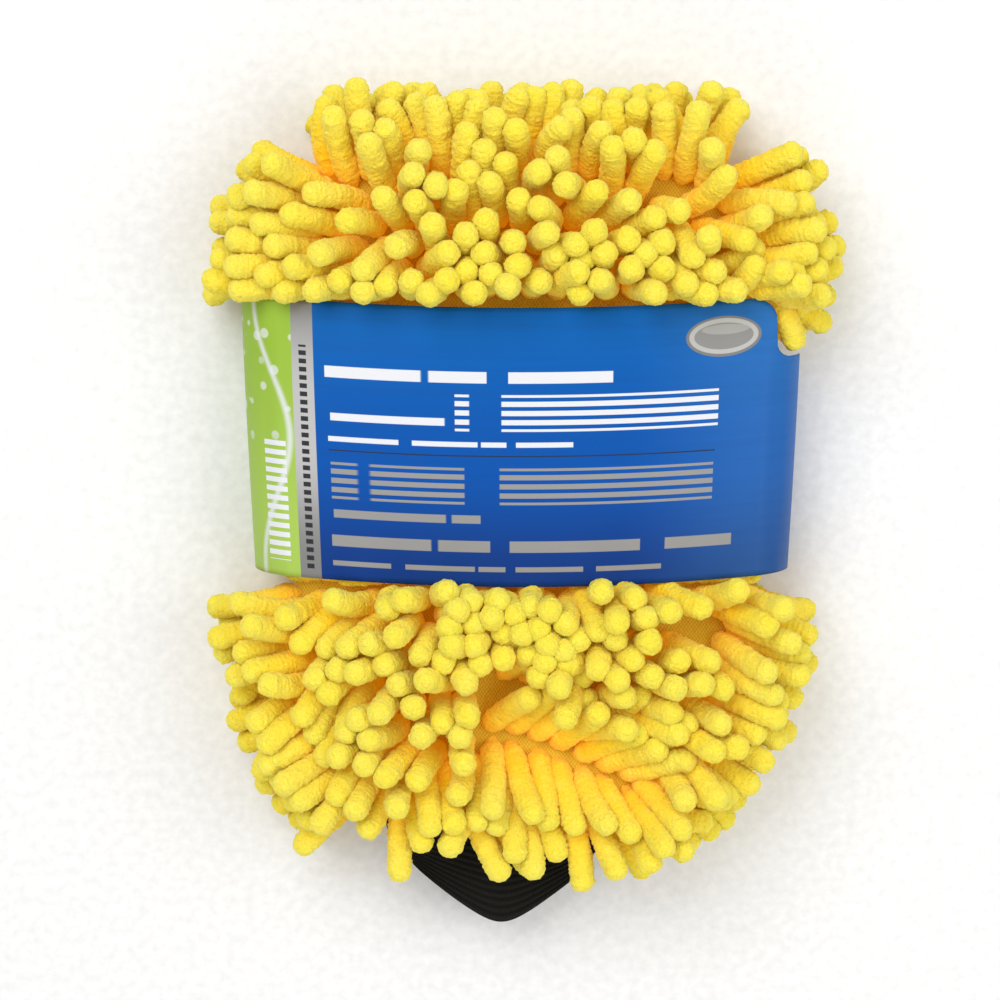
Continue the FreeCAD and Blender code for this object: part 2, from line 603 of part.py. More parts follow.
def build_row(y, lean_degrees, under_sleeve, side):
    """One row of noodles on its strip. Side is +1 on the front and -1 on the back."""
    surface = MID + side * SURFACE
    places = row_places(y)
    solids = []
    for x in places:
        fan = read("side_fan_degrees") * (x / ROW_HALF_SPAN) ** 3
        direction = FreeCAD.Vector(
            math.tan(math.radians(fan)), math.tan(math.radians(lean_degrees)), side)
        direction.normalize()
        base = FreeCAD.Vector(x, y, surface)
        solids.append(noodle(base, direction, free_length(base, direction, under_sleeve)))
    thickness = -read("strip_inset")
    low = surface if side > 0 else surface - thickness
    half = read("strip_half_width")
    strip = Part.makeBox(
        places[-1] - places[0], 2 * half, thickness,
        FreeCAD.Vector(places[0], y - half, low))
    slab_low = MID - read("beyond") if side > 0 else surface
    slab_high = surface if side > 0 else MID + read("beyond")
    span = HALF_WIDTH + read("beyond")
    inner_slab = Part.makeBox(
        2 * span, 2 * read("beyond"), slab_high - slab_low,
        FreeCAD.Vector(-span, y - read("beyond"), slab_low))
    return strip.multiFuse(solids).cut(inner_slab)


for side, face_name in ((1, "front"), (-1, "back")):
    for index, (y, lean_degrees, under_sleeve) in enumerate(row_table()):
        row = doc.addObject("Part::Feature", face_name.capitalize() + "Row" + str(index + 1))
        row.Shape = build_row(y, lean_degrees, under_sleeve, side)
        keep(face_name + "_noodle_row_" + str(index + 1).zfill(2), row)

# Noodles round the edge: the outline of the bag at its widest
widest = outer_form.Shape.slice(FreeCAD.Vector(0, 0, 1), MID)[0]
edge_ring = strip_shell.Shape.common(Part.makeBox(
    2 * (HALF_WIDTH + read("beyond")), 4 * read("beyond") + FINGER_END,
    2 * read("edge_strip_half_height"),
    FreeCAD.Vector(
        -HALF_WIDTH - read("beyond"), -2 * read("beyond"), MID - read("edge_strip_half_height"))))
OUTSIDE = HALF_WIDTH + read("beyond")
PAST_END = FINGER_END + read("beyond")
STRAIGHT_SIDE = HALF_WIDTH - read("edge_straight_in")
WRIST_STRETCH = (read("mouth_y") + read("edge_mouth_gap"), SLEEVE_LOW - read("edge_wrist_gap"))
MIDDLE_STRETCH = (SLEEVE_LOW + read("edge_row_low_gap"), SLEEVE_HIGH - read("edge_row_high_gap"))
FINGER_STRETCH = (SLEEVE_HIGH + read("edge_finger_gap"), PAST_END)
END_STRETCH = (FINGER_END - read("end_row_depth"), PAST_END)
LEFT_X = read("edge_left_in") - HALF_WIDTH
RIGHT_X = HALF_WIDTH - read("edge_right_in")
MIDDLE_X = HALF_WIDTH - read("edge_middle_in")
CORNER_X = HALF_WIDTH - read("edge_corner_in")
END_X = CORNER_X - read("end_row_gap")
EDGE_SEGMENTS = (
    ("left_edge_row_wrist", (-OUTSIDE, LEFT_X), WRIST_STRETCH, False),
    ("left_edge_row_middle", (-OUTSIDE, -MIDDLE_X), MIDDLE_STRETCH, True),
    ("left_edge_row_finger", (-OUTSIDE, -CORNER_X), FINGER_STRETCH, False),
    ("finger_end_row", (-END_X, END_X), END_STRETCH, False),
    ("right_edge_row_finger", (CORNER_X, OUTSIDE), FINGER_STRETCH, False),
    ("right_edge_row_middle", (MIDDLE_X, OUTSIDE), MIDDLE_STRETCH, True),
    ("right_edge_row_wrist", (RIGHT_X, OUTSIDE), WRIST_STRETCH, False),
)


def edge_places():
    """Places round the bag's edge and the outward direction at each, one noodle pitch apart."""
    places = []
    count = int(widest.Length / SCAN_STEP)
    points = widest.discretize(count)
    travelled = 0.0
    step_length = widest.Length / (count - 1)
    for index in range(count - 1):
        along = points[index + 1] - points[index]
        along.normalize()
        outward = FreeCAD.Vector(along.y, -along.x, 0)
        centre = points[index] - FreeCAD.Vector(0, 0, MID)
        if outward.dot(centre) < 0:
            outward = outward * -1.0
        places.append((points[index], outward, travelled))
        travelled += step_length
    return places


def build_edge_row(x_range, y_range, under_sleeve):
    """Noodles round one stretch of the edge, front and back, on a common strip."""
    low_x, high_x = x_range
    low_y, high_y = y_range
    region = Part.makeBox(
        high_x - low_x, high_y - low_y, 2 * MID,
        FreeCAD.Vector(low_x, low_y, 0))
    strip = edge_ring.common(region)
    margin = RADIUS + read("edge_margin")
    margin_along = margin - read("edge_margin_cut")
    chosen = []
    for point, outward, travelled in edge_places():
        in_x = low_x + margin < point.x < high_x - margin or abs(point.x) > STRAIGHT_SIDE
        in_x = in_x and low_x < point.x < high_x
        if in_x and low_y + margin_along < point.y < high_y - margin_along:
            chosen.append((point, outward, travelled))
    solids = []
    last = -NOODLE_PITCH - SCAN_STEP
    for point, outward, travelled in chosen:
        if travelled - last < NOODLE_PITCH + read("edge_pitch_extra"):
            continue
        last = travelled
        for side, angle in ((1, read("edge_front_degrees")), (-1, read("edge_back_degrees"))):
            flat = math.cos(math.radians(angle))
            rise = math.sin(math.radians(angle))
            base = FreeCAD.Vector(point.x, point.y, MID)
            base = base - outward * (RIM_RADIUS * (1 - flat))
            base.z = MID + side * (read("rim_land") + RIM_RADIUS * rise)
            direction = FreeCAD.Vector(outward.x * flat, outward.y * flat, side * rise)
            solids.append(noodle(base, direction, free_length(base, direction, under_sleeve)))
    return strip.multiFuse(solids).cut(outer_form.Shape)


for name, x_range, y_range, under_sleeve in EDGE_SEGMENTS:
    row = doc.addObject("Part::Feature", name.title().replace("_", ""))
    row.Shape = build_edge_row(x_range, y_range, under_sleeve)
    keep(name, row)

doc.recompute()

for item in doc.Objects:
    states = item.State
    if "Invalid" in states or "Error" in states:
        raise RuntimeError("feature failed: " + item.Name + " " + str(states))
os.makedirs(OUTPUT_FOLDER, exist_ok=True)
for name, piece in pieces:
    shape = piece.Shape
    if shape.isNull() or not shape.isValid():
        raise RuntimeError("bad shape: " + name)
    if len(shape.Solids) != 1:
        print("solids", name, len(shape.Solids), [round(part.Volume, 1) for part in shape.Solids])
    shape.exportStep(OUTPUT_FOLDER + "/" + name + ".step")
print("exported", len(pieces))
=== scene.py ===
"""Chenille wash mitt with a ribbed cuff and a card sleeve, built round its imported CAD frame."""
import logging
import math
from dataclasses import dataclass, field
from enum import Enum

import bmesh
import bpy
import numpy as np
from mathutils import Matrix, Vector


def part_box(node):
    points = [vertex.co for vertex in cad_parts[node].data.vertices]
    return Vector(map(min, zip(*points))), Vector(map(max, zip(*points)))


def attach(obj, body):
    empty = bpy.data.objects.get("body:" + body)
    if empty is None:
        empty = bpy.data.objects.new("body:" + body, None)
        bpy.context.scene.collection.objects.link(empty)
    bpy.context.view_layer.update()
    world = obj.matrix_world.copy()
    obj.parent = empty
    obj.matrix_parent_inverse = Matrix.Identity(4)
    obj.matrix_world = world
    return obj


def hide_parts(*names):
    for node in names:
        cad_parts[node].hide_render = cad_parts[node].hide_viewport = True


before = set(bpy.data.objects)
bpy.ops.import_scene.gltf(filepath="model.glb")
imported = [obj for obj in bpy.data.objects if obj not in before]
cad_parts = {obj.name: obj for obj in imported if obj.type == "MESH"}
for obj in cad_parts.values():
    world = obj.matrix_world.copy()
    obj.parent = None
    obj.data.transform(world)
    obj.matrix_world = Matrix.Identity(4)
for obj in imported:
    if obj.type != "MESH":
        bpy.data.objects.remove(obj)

LOG = logging.getLogger("wash_mitt")
Colour = tuple[float, float, float]
Array = np.ndarray


class Face(Enum):
    """The two broad faces of the mitt."""

    FRONT = 1
    BACK = -1


class Lay(Enum):
    """How the noodles of a row stand."""

    FREE = "free"
    PRESSED = "pressed"


# ---------------------------------------------------------------- node trees


class Tree:
    """Small helper that adds and joins nodes in a shader or geometry tree."""

    def __init__(self, tree: bpy.types.NodeTree) -> None:
        """Wraps a node tree.

        Args:
            tree: the tree that nodes are added to.
        """
        self.tree = tree

    def add(self, kind: str, **settings: object) -> bpy.types.Node:
        """Adds a node.

        Args:
            kind: the node type's identifier.
            **settings: properties of the node, by name.

        Returns:
            The new node.
        """
        node = self.tree.nodes.new(kind)
        for name, value in settings.items():
            setattr(node, name, value)
        return node

    def feed(self, socket: bpy.types.NodeSocket, value: object) -> None:
        """Joins an output to a socket, or sets the socket to a plain value.

        Args:
            socket: the input.
            value: an output socket, or a value.
        """
        if isinstance(value, bpy.types.NodeSocket):
            self.tree.links.new(value, socket)
        else:
            socket.default_value = value

    def math(self, operation: str, *values: object) -> bpy.types.NodeSocket:
        """Adds a Math node.

        Args:
            operation: what it does.
            *values: its inputs, in order.

        Returns:
            Its output.
        """
        node = self.add("ShaderNodeMath", operation=operation)
        for socket, value in zip(node.inputs, values):
            self.feed(socket, value)
        return node.outputs[0]

    def ramp(self, value: object, low: float, high: float) -> bpy.types.NodeSocket:
        """Maps low..high to 0..1, smoothly and clamped.

        Args:
            value: the input.
            low: where the output is 0.
            high: where the output is 1.

        Returns:
            The output.
        """
        node = self.add("ShaderNodeMapRange", interpolation_type="SMOOTHSTEP")
        for name, item in (("Value", value), ("From Min", low), ("From Max", high)):
            self.feed(node.inputs[name], item)
        return node.outputs["Result"]

    def mix(self, share: object, first: object, second: object) -> bpy.types.NodeSocket:
        """Mixes two colours.

        Args:
            share: how much of the second.
            first: a colour.
            second: a colour.

        Returns:
            The mixed colour.
        """
        node = self.add("ShaderNodeMix", data_type="RGBA")
        self.feed(node.inputs["Factor"], share)
        self.feed(node.inputs["A"], rgba(first))
        self.feed(node.inputs["B"], rgba(second))
        for socket in node.inputs:
            if socket.type == "RGBA" and not socket.is_linked:
                self.feed(socket, rgba(first if socket.name == "A" else second))
        return next(item for item in node.outputs if item.type == "RGBA")


def rgba(colour: object) -> object:
    """Gives a plain colour its alpha, and leaves a socket alone."""
    if isinstance(colour, tuple) and len(colour) == 3:
        return (*colour, 1.0)
    return colour


class MaterialMaker(Tree):
    """A new material with a Principled shader, ready for colour and bump."""

    def __init__(self, name: str, roughness: float, **constants: float) -> None:
        """Makes the material.

        Args:
            name: the material's name.
            roughness: the shader's roughness.
            **constants: other shader inputs, by name with _ for a space.
        """
        self.material = bpy.data.materials.new(name)
        self.material.use_nodes = True
        super().__init__(self.material.node_tree)
        self.shader = self.tree.nodes["Principled BSDF"]
        self.shader.inputs["Roughness"].default_value = roughness
        for key, value in constants.items():
            self.shader.inputs[key.replace("_", " ")].default_value = value
        self.object_place = self.add("ShaderNodeTexCoord").outputs["Object"]

    def noise(self, scale: float, detail: float = 2.0, place: object = None) -> bpy.types.NodeSocket:
        """Noise over the object's own space.

        Args:
            scale: features per metre.
            detail: octaves.
            place: other coordinates, if wanted.

        Returns:
            The noise value.
        """
        node = self.add("ShaderNodeTexNoise")
        node.inputs["Scale"].default_value = scale
        node.inputs["Detail"].default_value = detail
        self.feed(node.inputs["Vector"], place or self.object_place)
        return node.outputs["Fac"]

    def attribute(self, name: str) -> bpy.types.NodeSocket:
        """Reads a number stored on the mesh."""
        return self.add("ShaderNodeAttribute", attribute_name=name).outputs["Fac"]

    def bump(self, height: object, distance: float, strength: float = 1.0) -> None:
        """Adds a bump to the shader, on top of any that is there.

        Args:
            height: the height, 0 to 1.
            distance: what 1 stands for, in metres.
            strength: how strong it is.
        """
        node = self.add("ShaderNodeBump")
        node.inputs["Distance"].default_value = distance
        node.inputs["Strength"].default_value = strength
        self.feed(node.inputs["Height"], height)
        normal = self.shader.inputs["Normal"]
        if normal.is_linked:
            self.feed(node.inputs["Normal"], normal.links[0].from_socket)
        self.feed(normal, node.outputs["Normal"])

    def colour(self, colour: object) -> bpy.types.Material:
        """Sets the colour and gives the finished material."""
        self.feed(self.shader.inputs["Base Color"], rgba(colour))
        return self.material


# ---------------------------------------------------------------- finishes


@dataclass(frozen=True)
class ChenilleFinish:
    """Fuzzy microfibre pile. Its colour deepens from tip to root as painted shade and bounce light between
    the noodles, and an orange emission near the root is a painted glow in the gaps.
    """

    # The side and root colours are painted shade: the pile turns darker and more orange towards the root,
    # where the noodles shade each other. pale is a random tone.
    tip: Colour = (0.94, 0.79, 0.065)
    side: Colour = (0.98, 0.66, 0.018)
    root: Colour = (1.0, 0.46, 0.006)
    pale: Colour = (0.92, 0.84, 0.15)
    # Painted glow: an emission colour and strength that light the roots as if bounced light filled the gaps.
    painted_gap_glow: Colour = (1.0, 0.42, 0.0)
    painted_gap_glow_share: float = 0.16

    def make(self) -> bpy.types.Material:
        """Builds the material."""
        maker = MaterialMaker("chenille", 0.95, Sheen_Weight=0.14, Sheen_Roughness=0.5,
                              Specular_IOR_Level=0.08, Subsurface_Weight=0.25, Subsurface_Scale=0.004)
        maker.shader.inputs["Subsurface Radius"].default_value = (1.0, 0.45, 0.05)
        along = maker.attribute("along")
        # Painted shade: along each noodle the colour runs from the root colour through the side colour to the
        # tip colour.
        lower = maker.mix(maker.ramp(along, 0.0, 0.55), self.root, self.side)
        base = maker.mix(maker.ramp(along, 0.40, 1.0), lower, self.tip)
        tone = maker.math("MULTIPLY", maker.attribute("tone"), 0.40)
        base = maker.mix(tone, base, self.pale)
        fleck = maker.ramp(maker.noise(1300.0, 3.0), 0.40, 0.68)
        deeper = maker.mix(maker.math("MULTIPLY", fleck, 0.38), base, self.side)
        worn = maker.ramp(maker.noise(160.0, 2.0), 0.45, 0.75)
        tint = maker.mix(maker.math("MULTIPLY", worn, 0.25), deeper, self.pale)
        maker.bump(maker.noise(850.0, 3.0), 0.0012, 0.9)
        maker.bump(maker.noise(2600.0, 2.0), 0.0004, 0.5)
        # Painted glow: an orange emission, strongest at the root and gone by the tip, stands in for light
        # bounced into the gaps.
        maker.shader.inputs["Emission Color"].default_value = rgba(self.painted_gap_glow)
        painted_glow_mask = maker.math("SUBTRACT", 1.0, maker.ramp(along, 0.0, 0.85))
        maker.feed(maker.shader.inputs["Emission Strength"], maker.math("MULTIPLY", painted_glow_mask, self.painted_gap_glow_share))
        return maker.colour(tint)


@dataclass(frozen=True)
class ClothFinish:
    """Woven or knitted cloth with a fine grid of yarns."""

    name: str
    colour: Colour
    yarn: float = 0.0011
    contrast: float = 0.35

    def make(self) -> bpy.types.Material:
        """Builds the material."""
        maker = MaterialMaker(self.name, 0.9, Sheen_Weight=0.25, Specular_IOR_Level=0.2)
        split = maker.add("ShaderNodeSeparateXYZ")
        maker.feed(split.inputs[0], maker.object_place)
        turns = 2.0 * math.pi / self.yarn
        across = maker.math("SINE", maker.math("MULTIPLY", split.outputs["X"], turns))
        along = maker.math("SINE", maker.math("MULTIPLY", split.outputs["Y"], turns * 0.7))
        weave = maker.math("MULTIPLY_ADD", maker.math("MULTIPLY", across, along), 0.5, 0.5)
        darker = tuple(channel * (1.0 - self.contrast) for channel in self.colour)
        colour = maker.mix(weave, darker, self.colour)
        shade = maker.mix(maker.math("MULTIPLY", maker.noise(90.0), 0.3), colour, darker)
        maker.bump(weave, 0.0003, 0.7)
        maker.bump(maker.noise(2600.0, 3.0), 0.0002, 0.5)
        return maker.colour(shade)


@dataclass(frozen=True)
class RibKnitFinish:
    """Black elastic knit: fine courses of yarn over the ribs, with painted light on the rib crests and
    painted shade in the troughs.
    """

    # yarn is the knit's own black, also standing as painted shade in the troughs; crest is a lighter colour
    # painted on the rib crests as light.
    yarn: Colour = (0.0050, 0.0047, 0.0040)
    crest: Colour = (0.0130, 0.0120, 0.0095)

    def make(self) -> bpy.types.Material:
        """Builds the material."""
        maker = MaterialMaker("ribbed_elastic", 0.85, Sheen_Weight=0.02, Specular_IOR_Level=0.12)
        crest = maker.attribute("crest")
        round_way = maker.attribute("round_way")
        stitch = maker.math("SINE", maker.math("MULTIPLY", round_way, 2.0 * math.pi / 0.0011))
        knit = maker.math("MULTIPLY_ADD", stitch, 0.5, 0.5)
        maker.bump(knit, 0.0002, 0.6)
        maker.bump(maker.noise(2500.0, 3.0), 0.00015, 0.5)
        # Painted light and shade: the rib crests take the lighter crest colour and the troughs the darker
        # yarn colour.
        lit = maker.math("MULTIPLY", crest, maker.math("MULTIPLY_ADD", knit, 0.4, 0.6))
        return maker.colour(maker.mix(lit, self.yarn, self.crest))


@dataclass(frozen=True)
class PlainFinish:
    """A small part's finish: one colour with a slight mottle and grain."""

    name: str
    colour: Colour
    roughness: float = 0.7

    def make(self) -> bpy.types.Material:
        """Builds the material."""
        maker = MaterialMaker(self.name, self.roughness)
        darker = tuple(channel * 0.8 for channel in self.colour)
        maker.bump(maker.noise(1500.0), 0.0001, 0.5)
        return maker.colour(maker.mix(maker.noise(300.0), darker, self.colour))


@dataclass(frozen=True)
class PrintBlock:
    """One plain block of the sleeve's print, in metres on the flat card."""

    left: float
    right: float
    low: float
    high: float
    colour: Colour
    word: float = 0.0
    stripe: float = 0.0
    oval: bool = False


@dataclass(frozen=True)
class SleeveFinish:
    """Printed card: a green strip, a silver strip and a blue field with plain blocks. The blue's darkening
    downwards is partly painted shade, a lighter band of blue is a painted highlight, and the silver strip's
    light and dark bands are a painted reflection.
    """

    blue_high: Colour = (0.000, 0.112, 0.430)
    blue_mid: Colour = (0.000, 0.080, 0.380)
    blue_low: Colour = (0.004, 0.038, 0.225)
    green: Colour = (0.270, 0.440, 0.035)
    pale_green: Colour = (0.36, 0.53, 0.095)
    silver: Colour = (0.46, 0.46, 0.46)
    white: Colour = (0.72, 0.73, 0.77)
    grey: Colour = (0.29, 0.285, 0.28)
    silver_left: float = -0.0735
    silver_right: float = -0.0665
    blocks: tuple[PrintBlock, ...] = ()

    def inside(self, maker: MaterialMaker, value: object, low: float, high: float, soft: float) -> object:
        """How far a value lies between two limits, 0 to 1 with soft ends."""
        rise = maker.ramp(value, low - soft, low + soft)
        fall = maker.ramp(value, high + soft, high - soft)
        return maker.math("MULTIPLY", rise, fall)

    def oval(self, maker: MaterialMaker, across: object, height: object, block: PrintBlock) -> object:
        """Cover of a plain oval, 0 outside and 1 inside."""
        parts = []
        for value, low, high in ((across, block.left, block.right), (height, block.low, block.high)):
            away = maker.math("SUBTRACT", value, (low + high) / 2)
            share = maker.math("DIVIDE", away, (high - low) / 2)
            parts.append(maker.math("MULTIPLY", share, share))
        return maker.ramp(maker.math("ADD", *parts), 1.03, 0.97)

    def droplets(self, maker: MaterialMaker, place: object) -> object:
        """Round beads of water, 0 outside and 1 inside."""
        cells = maker.add("ShaderNodeTexVoronoi", feature="F1")
        maker.feed(cells.inputs["Vector"], place)
        cells.inputs["Scale"].default_value = 190.0
        cells.inputs["Randomness"].default_value = 1.0
        bead = maker.ramp(cells.outputs["Distance"], 0.34, 0.27)
        picked = maker.ramp(cells.outputs["Color"], 0.48, 0.52)
        return maker.math("MULTIPLY", bead, picked)

    def make(self) -> bpy.types.Material:
        """Builds the material from the card's own UV map, in metres."""
        maker = MaterialMaker("printed_card", 0.45, Specular_IOR_Level=0.12)
        uv = maker.add("ShaderNodeUVMap", uv_map="card").outputs["UV"]
        split = maker.add("ShaderNodeSeparateXYZ")
        maker.feed(split.inputs[0], uv)
        across, height = split.outputs["X"], split.outputs["Y"]
        soft = 0.00012
        # The blue darkens towards the card's lower edge: partly the print's own gradient, partly painted
        # shade.
        low_blue = maker.mix(maker.ramp(height, -0.022, 0.018), self.blue_low, self.blue_mid)
        blue = maker.mix(maker.ramp(height, 0.015, 0.064), low_blue, self.blue_high)
        # Painted highlight: the blue turns lighter towards the right of the card.
        painted_highlight_band = maker.math("MULTIPLY", maker.ramp(across, 0.030, 0.080), 0.22)
        blue = maker.mix(painted_highlight_band, blue, (0.08, 0.26, 0.52))
        stretch = maker.add("ShaderNodeMapping")
        maker.feed(stretch.inputs["Vector"], uv)
        stretch.inputs["Scale"].default_value = (7.0, 420.0, 1.0)
        brushed = maker.ramp(maker.noise(1.0, 3.0, stretch.outputs["Vector"]), 0.35, 0.75)
        blue = maker.mix(maker.math("MULTIPLY", brushed, 0.13), blue, (0.010, 0.050, 0.170))
        for block in self.blocks:
            if block.oval:
                blue = maker.mix(self.oval(maker, across, height, block), blue, block.colour)
                continue
            cover = self.inside(maker, across, block.left, block.right, soft)
            tall = self.inside(maker, height, block.low, block.high, soft)
            cover = maker.math("MULTIPLY", cover, tall)
            if block.stripe:
                level = maker.math("SUBTRACT", height, block.low - block.stripe * 0.25)
                wave = maker.math("SINE", maker.math("MULTIPLY", level, 2.0 * math.pi / block.stripe))
                cover = maker.math("MULTIPLY", cover, maker.ramp(wave, -0.30, -0.10))
            if block.word:
                turn = maker.math("MULTIPLY", across, 2.0 * math.pi / block.word)
                second = maker.math("SINE", maker.math("MULTIPLY", turn, 0.37))
                beat = maker.math("ADD", maker.math("SINE", turn), second)
                cover = maker.math("MULTIPLY", cover, maker.ramp(beat, -1.28, -1.22))
            blue = maker.mix(cover, blue, block.colour)
        sway = maker.math("SINE", maker.math("MULTIPLY", height, 75.0))
        wave = maker.math("MULTIPLY_ADD", sway, 0.006, -0.081)
        swoosh = maker.ramp(maker.math("ABSOLUTE", maker.math("SUBTRACT", across, wave)), 0.0018, 0.0)
        green = maker.mix(maker.ramp(height, -0.02, 0.06), self.pale_green, self.green)
        green = maker.mix(maker.math("MULTIPLY", maker.noise(60.0), 0.3), green, self.pale_green)
        green = maker.mix(maker.math("MULTIPLY", swoosh, 0.75), green, self.white)
        bead = self.droplets(maker, uv)
        only_high = maker.ramp(height, 0.012, 0.024)
        bead = maker.math("MULTIPLY", maker.math("MULTIPLY", bead, only_high), 0.6)
        green = maker.mix(bead, green, self.white)
        bar = self.inside(maker, across, -0.0845, -0.0765, soft)
        bar = maker.math("MULTIPLY", bar, self.inside(maker, height, -0.019, 0.020, soft))
        gaps = maker.math("SINE", maker.math("MULTIPLY", height, 2.0 * math.pi / 0.0029))
        bar = maker.math("MULTIPLY", bar, maker.ramp(gaps, -0.30, -0.10))
        green = maker.mix(bar, green, self.white)
        # Painted reflection: the silver strip runs from light to dark up its height, as light reflected off
        # foil.
        shine = maker.ramp(maker.math("SINE", maker.math("MULTIPLY", height, 60.0)), -1.0, 1.0)
        silver = maker.mix(shine, tuple(0.45 * item for item in self.silver), self.silver)
        lines = maker.math("SINE", maker.math("MULTIPLY", height, 2.0 * math.pi / 0.0026))
        column = self.inside(maker, across, -0.0712, -0.0688, soft)
        column = maker.math("MULTIPLY", column, self.inside(maker, height, -0.021, 0.050, soft))
        dashes = maker.math("MULTIPLY", column, maker.ramp(lines, -0.4, -0.1))
        silver = maker.mix(dashes, silver, (0.03, 0.03, 0.035))
        face = maker.mix(maker.ramp(across, self.silver_left - soft, self.silver_left + soft), green, silver)
        face = maker.mix(maker.ramp(across, self.silver_right - soft, self.silver_right + soft), face, blue)
        maker.bump(maker.noise(900.0, 2.0), 0.00004, 0.5)
        maker.bump(maker.noise(45.0, 2.0), 0.0012, 0.12)
        return maker.colour(face)


# ---------------------------------------------------------------- form of the bag


@dataclass
class BagForm:
    """Outline and thickness of the fabric bag, and the pushes that keep things off it."""

    half_width: float
    finger_end: float
    middle: float
    half_height: float = 0.010
    rim_land: float = 0.001
    shoulder: float = -0.024
    waist: float = -0.070
    waist_left: float = -0.067
    waist_right: float = 0.060
    wrist: float = -0.112
    wrist_left: float = -0.042
    wrist_right: float = 0.028
    mouth: float = -0.100
    finger_corner: float = 0.032
    taper_corner: float = 0.030
    points: Array = field(init=False)
    normals: Array = field(init=False)

    def __post_init__(self) -> None:
        """Lays points along the outline, clockwise from the wrist's left end."""
        corners = [
            (self.wrist_left, self.wrist, 0.0),
            (self.waist_left, self.waist, self.taper_corner),
            (-self.half_width, self.shoulder, self.taper_corner),
            (-self.half_width, self.finger_end, self.finger_corner),
            (self.half_width, self.finger_end, self.finger_corner),
            (self.half_width, self.shoulder, self.taper_corner),
            (self.waist_right, self.waist, self.taper_corner),
            (self.wrist_right, self.wrist, 0.0),
        ]
        path: list[Array] = []
        count = len(corners)
        for index, (x, y, radius) in enumerate(corners):
            here = np.array([x, y])
            if radius == 0.0:
                path.append(here)
                continue
            before = np.array(corners[index - 1][:2]) - here
            after = np.array(corners[(index + 1) % count][:2]) - here
            before /= np.linalg.norm(before)
            after /= np.linalg.norm(after)
            half_turn = math.acos(float(np.clip(before @ after, -1, 1))) / 2
            centre = here + (before + after) / np.linalg.norm(before + after) * radius / math.sin(half_turn)
            start = here + before * radius / math.tan(half_turn)
            end = here + after * radius / math.tan(half_turn)
            first = math.atan2(*(start - centre)[::-1])
            last = math.atan2(*(end - centre)[::-1])
            sweep = (last - first + math.pi) % (2 * math.pi) - math.pi
            for share in np.linspace(0, 1, 17):
                angle = first + sweep * share
                path.append(centre + radius * np.array([math.cos(angle), math.sin(angle)]))
        line = np.array(path)
        lengths = np.concatenate([[0], np.cumsum(np.linalg.norm(np.diff(line, axis=0), axis=1))])
        places = np.linspace(0, lengths[-1], 560)
        self.points = np.stack([np.interp(places, lengths, line[:, axis]) for axis in (0, 1)], axis=1)
        along = np.gradient(self.points, axis=0)
        along /= np.linalg.norm(along, axis=1)[:, None]
        self.normals = np.stack([-along[:, 1], along[:, 0]], axis=1)

    def depth(self, places: Array) -> tuple[Array, Array]:
        """Distance of places inside the outline, and the outward direction there.

        Args:
            places: plan positions, n by 2.

        Returns:
            The distances, negative outside, and the outward directions.
        """
        gaps = places[:, None, :] - self.points[None, :, :]
        closest = np.argmin((gaps**2).sum(axis=2), axis=1)
        normal = self.normals[closest]
        offset = gaps[np.arange(len(places)), closest]
        return -(offset * normal).sum(axis=1), normal

    def lift(self, depth: Array, inset: float = 0.0) -> Array:
        """Height of the bag's surface over its middle plane at a distance inside the edge."""
        rim = self.half_height - self.rim_land - inset
        inward = np.clip(rim - (depth - inset), 0.0, rim)
        return self.rim_land + np.sqrt(np.maximum(rim**2 - inward**2, 0.0))

    def push_out(self, points: Array, radius: float) -> Array:
        """Moves points so that balls of a radius round them stay off the bag."""
        depth, normal = self.depth(points[:, :2])
        rim = self.half_height - self.rim_land
        inward = np.maximum(rim - depth, 0.0)
        rise = points[:, 2] - self.middle
        side = np.where(rise >= 0, 1.0, -1.0)
        tall = np.maximum(np.abs(rise) - self.rim_land, 0.0)
        reach = np.hypot(inward, tall)
        need = np.maximum(rim + radius - reach, 0.0) * (points[:, 1] > self.mouth - radius)
        safe = np.maximum(reach, 1e-6)
        moved = points.copy()
        moved[:, :2] += normal * (inward / safe * need)[:, None]
        moved[:, 2] += side * tall / safe * need
        return moved


@dataclass
class CuffForm:
    """Flattened, sagging tube of the cuff with its arched free edge."""

    middle: float
    centre: float = -0.0065
    start: float = -0.1025
    start_half: tuple[float, float] = (0.0405, 0.0090)
    end_half: tuple[float, float] = (0.0295, 0.0062)
    side_end: float = -0.1215
    tip: float = -0.1395
    point_round: float = 0.25
    sag: float = 0.0025
    wall: float = 0.0020

    def point(self, turn: Array, along: Array, inset: float = 0.0) -> Array:
        """Places on the cuff.

        Args:
            turn: angle round the tube.
            along: 0 at the seam to 1 at the free edge.
            inset: distance inside the outer face.

        Returns:
            The places, with a last axis of 3.
        """
        ease = along * along * (3 - 2 * along)
        half_x = self.start_half[0] + (self.end_half[0] - self.start_half[0]) * ease - inset
        half_z = self.start_half[1] + (self.end_half[1] - self.start_half[1]) * ease - inset
        cosine, sine = np.cos(turn), np.sin(turn)
        x = self.centre + half_x * cosine
        z = self.middle - self.sag * along + half_z * np.sign(sine) * np.abs(sine) ** 0.8
        side = self.start + (self.side_end - self.start) * along
        slope = np.hypot(cosine, self.point_round) - self.point_round
        slope /= math.hypot(1.0, self.point_round) - self.point_round
        bow = (self.side_end - self.tip) * along * (1 - slope)
        return np.stack([x, side - bow, z], axis=-1)


# ---------------------------------------------------------------- noodles at rest


@dataclass
class Strand:
    """Where one noodle is sewn, and which way it leaves the cloth."""

    row: str
    root: Array
    way: Array
    length: float
    curl: Array


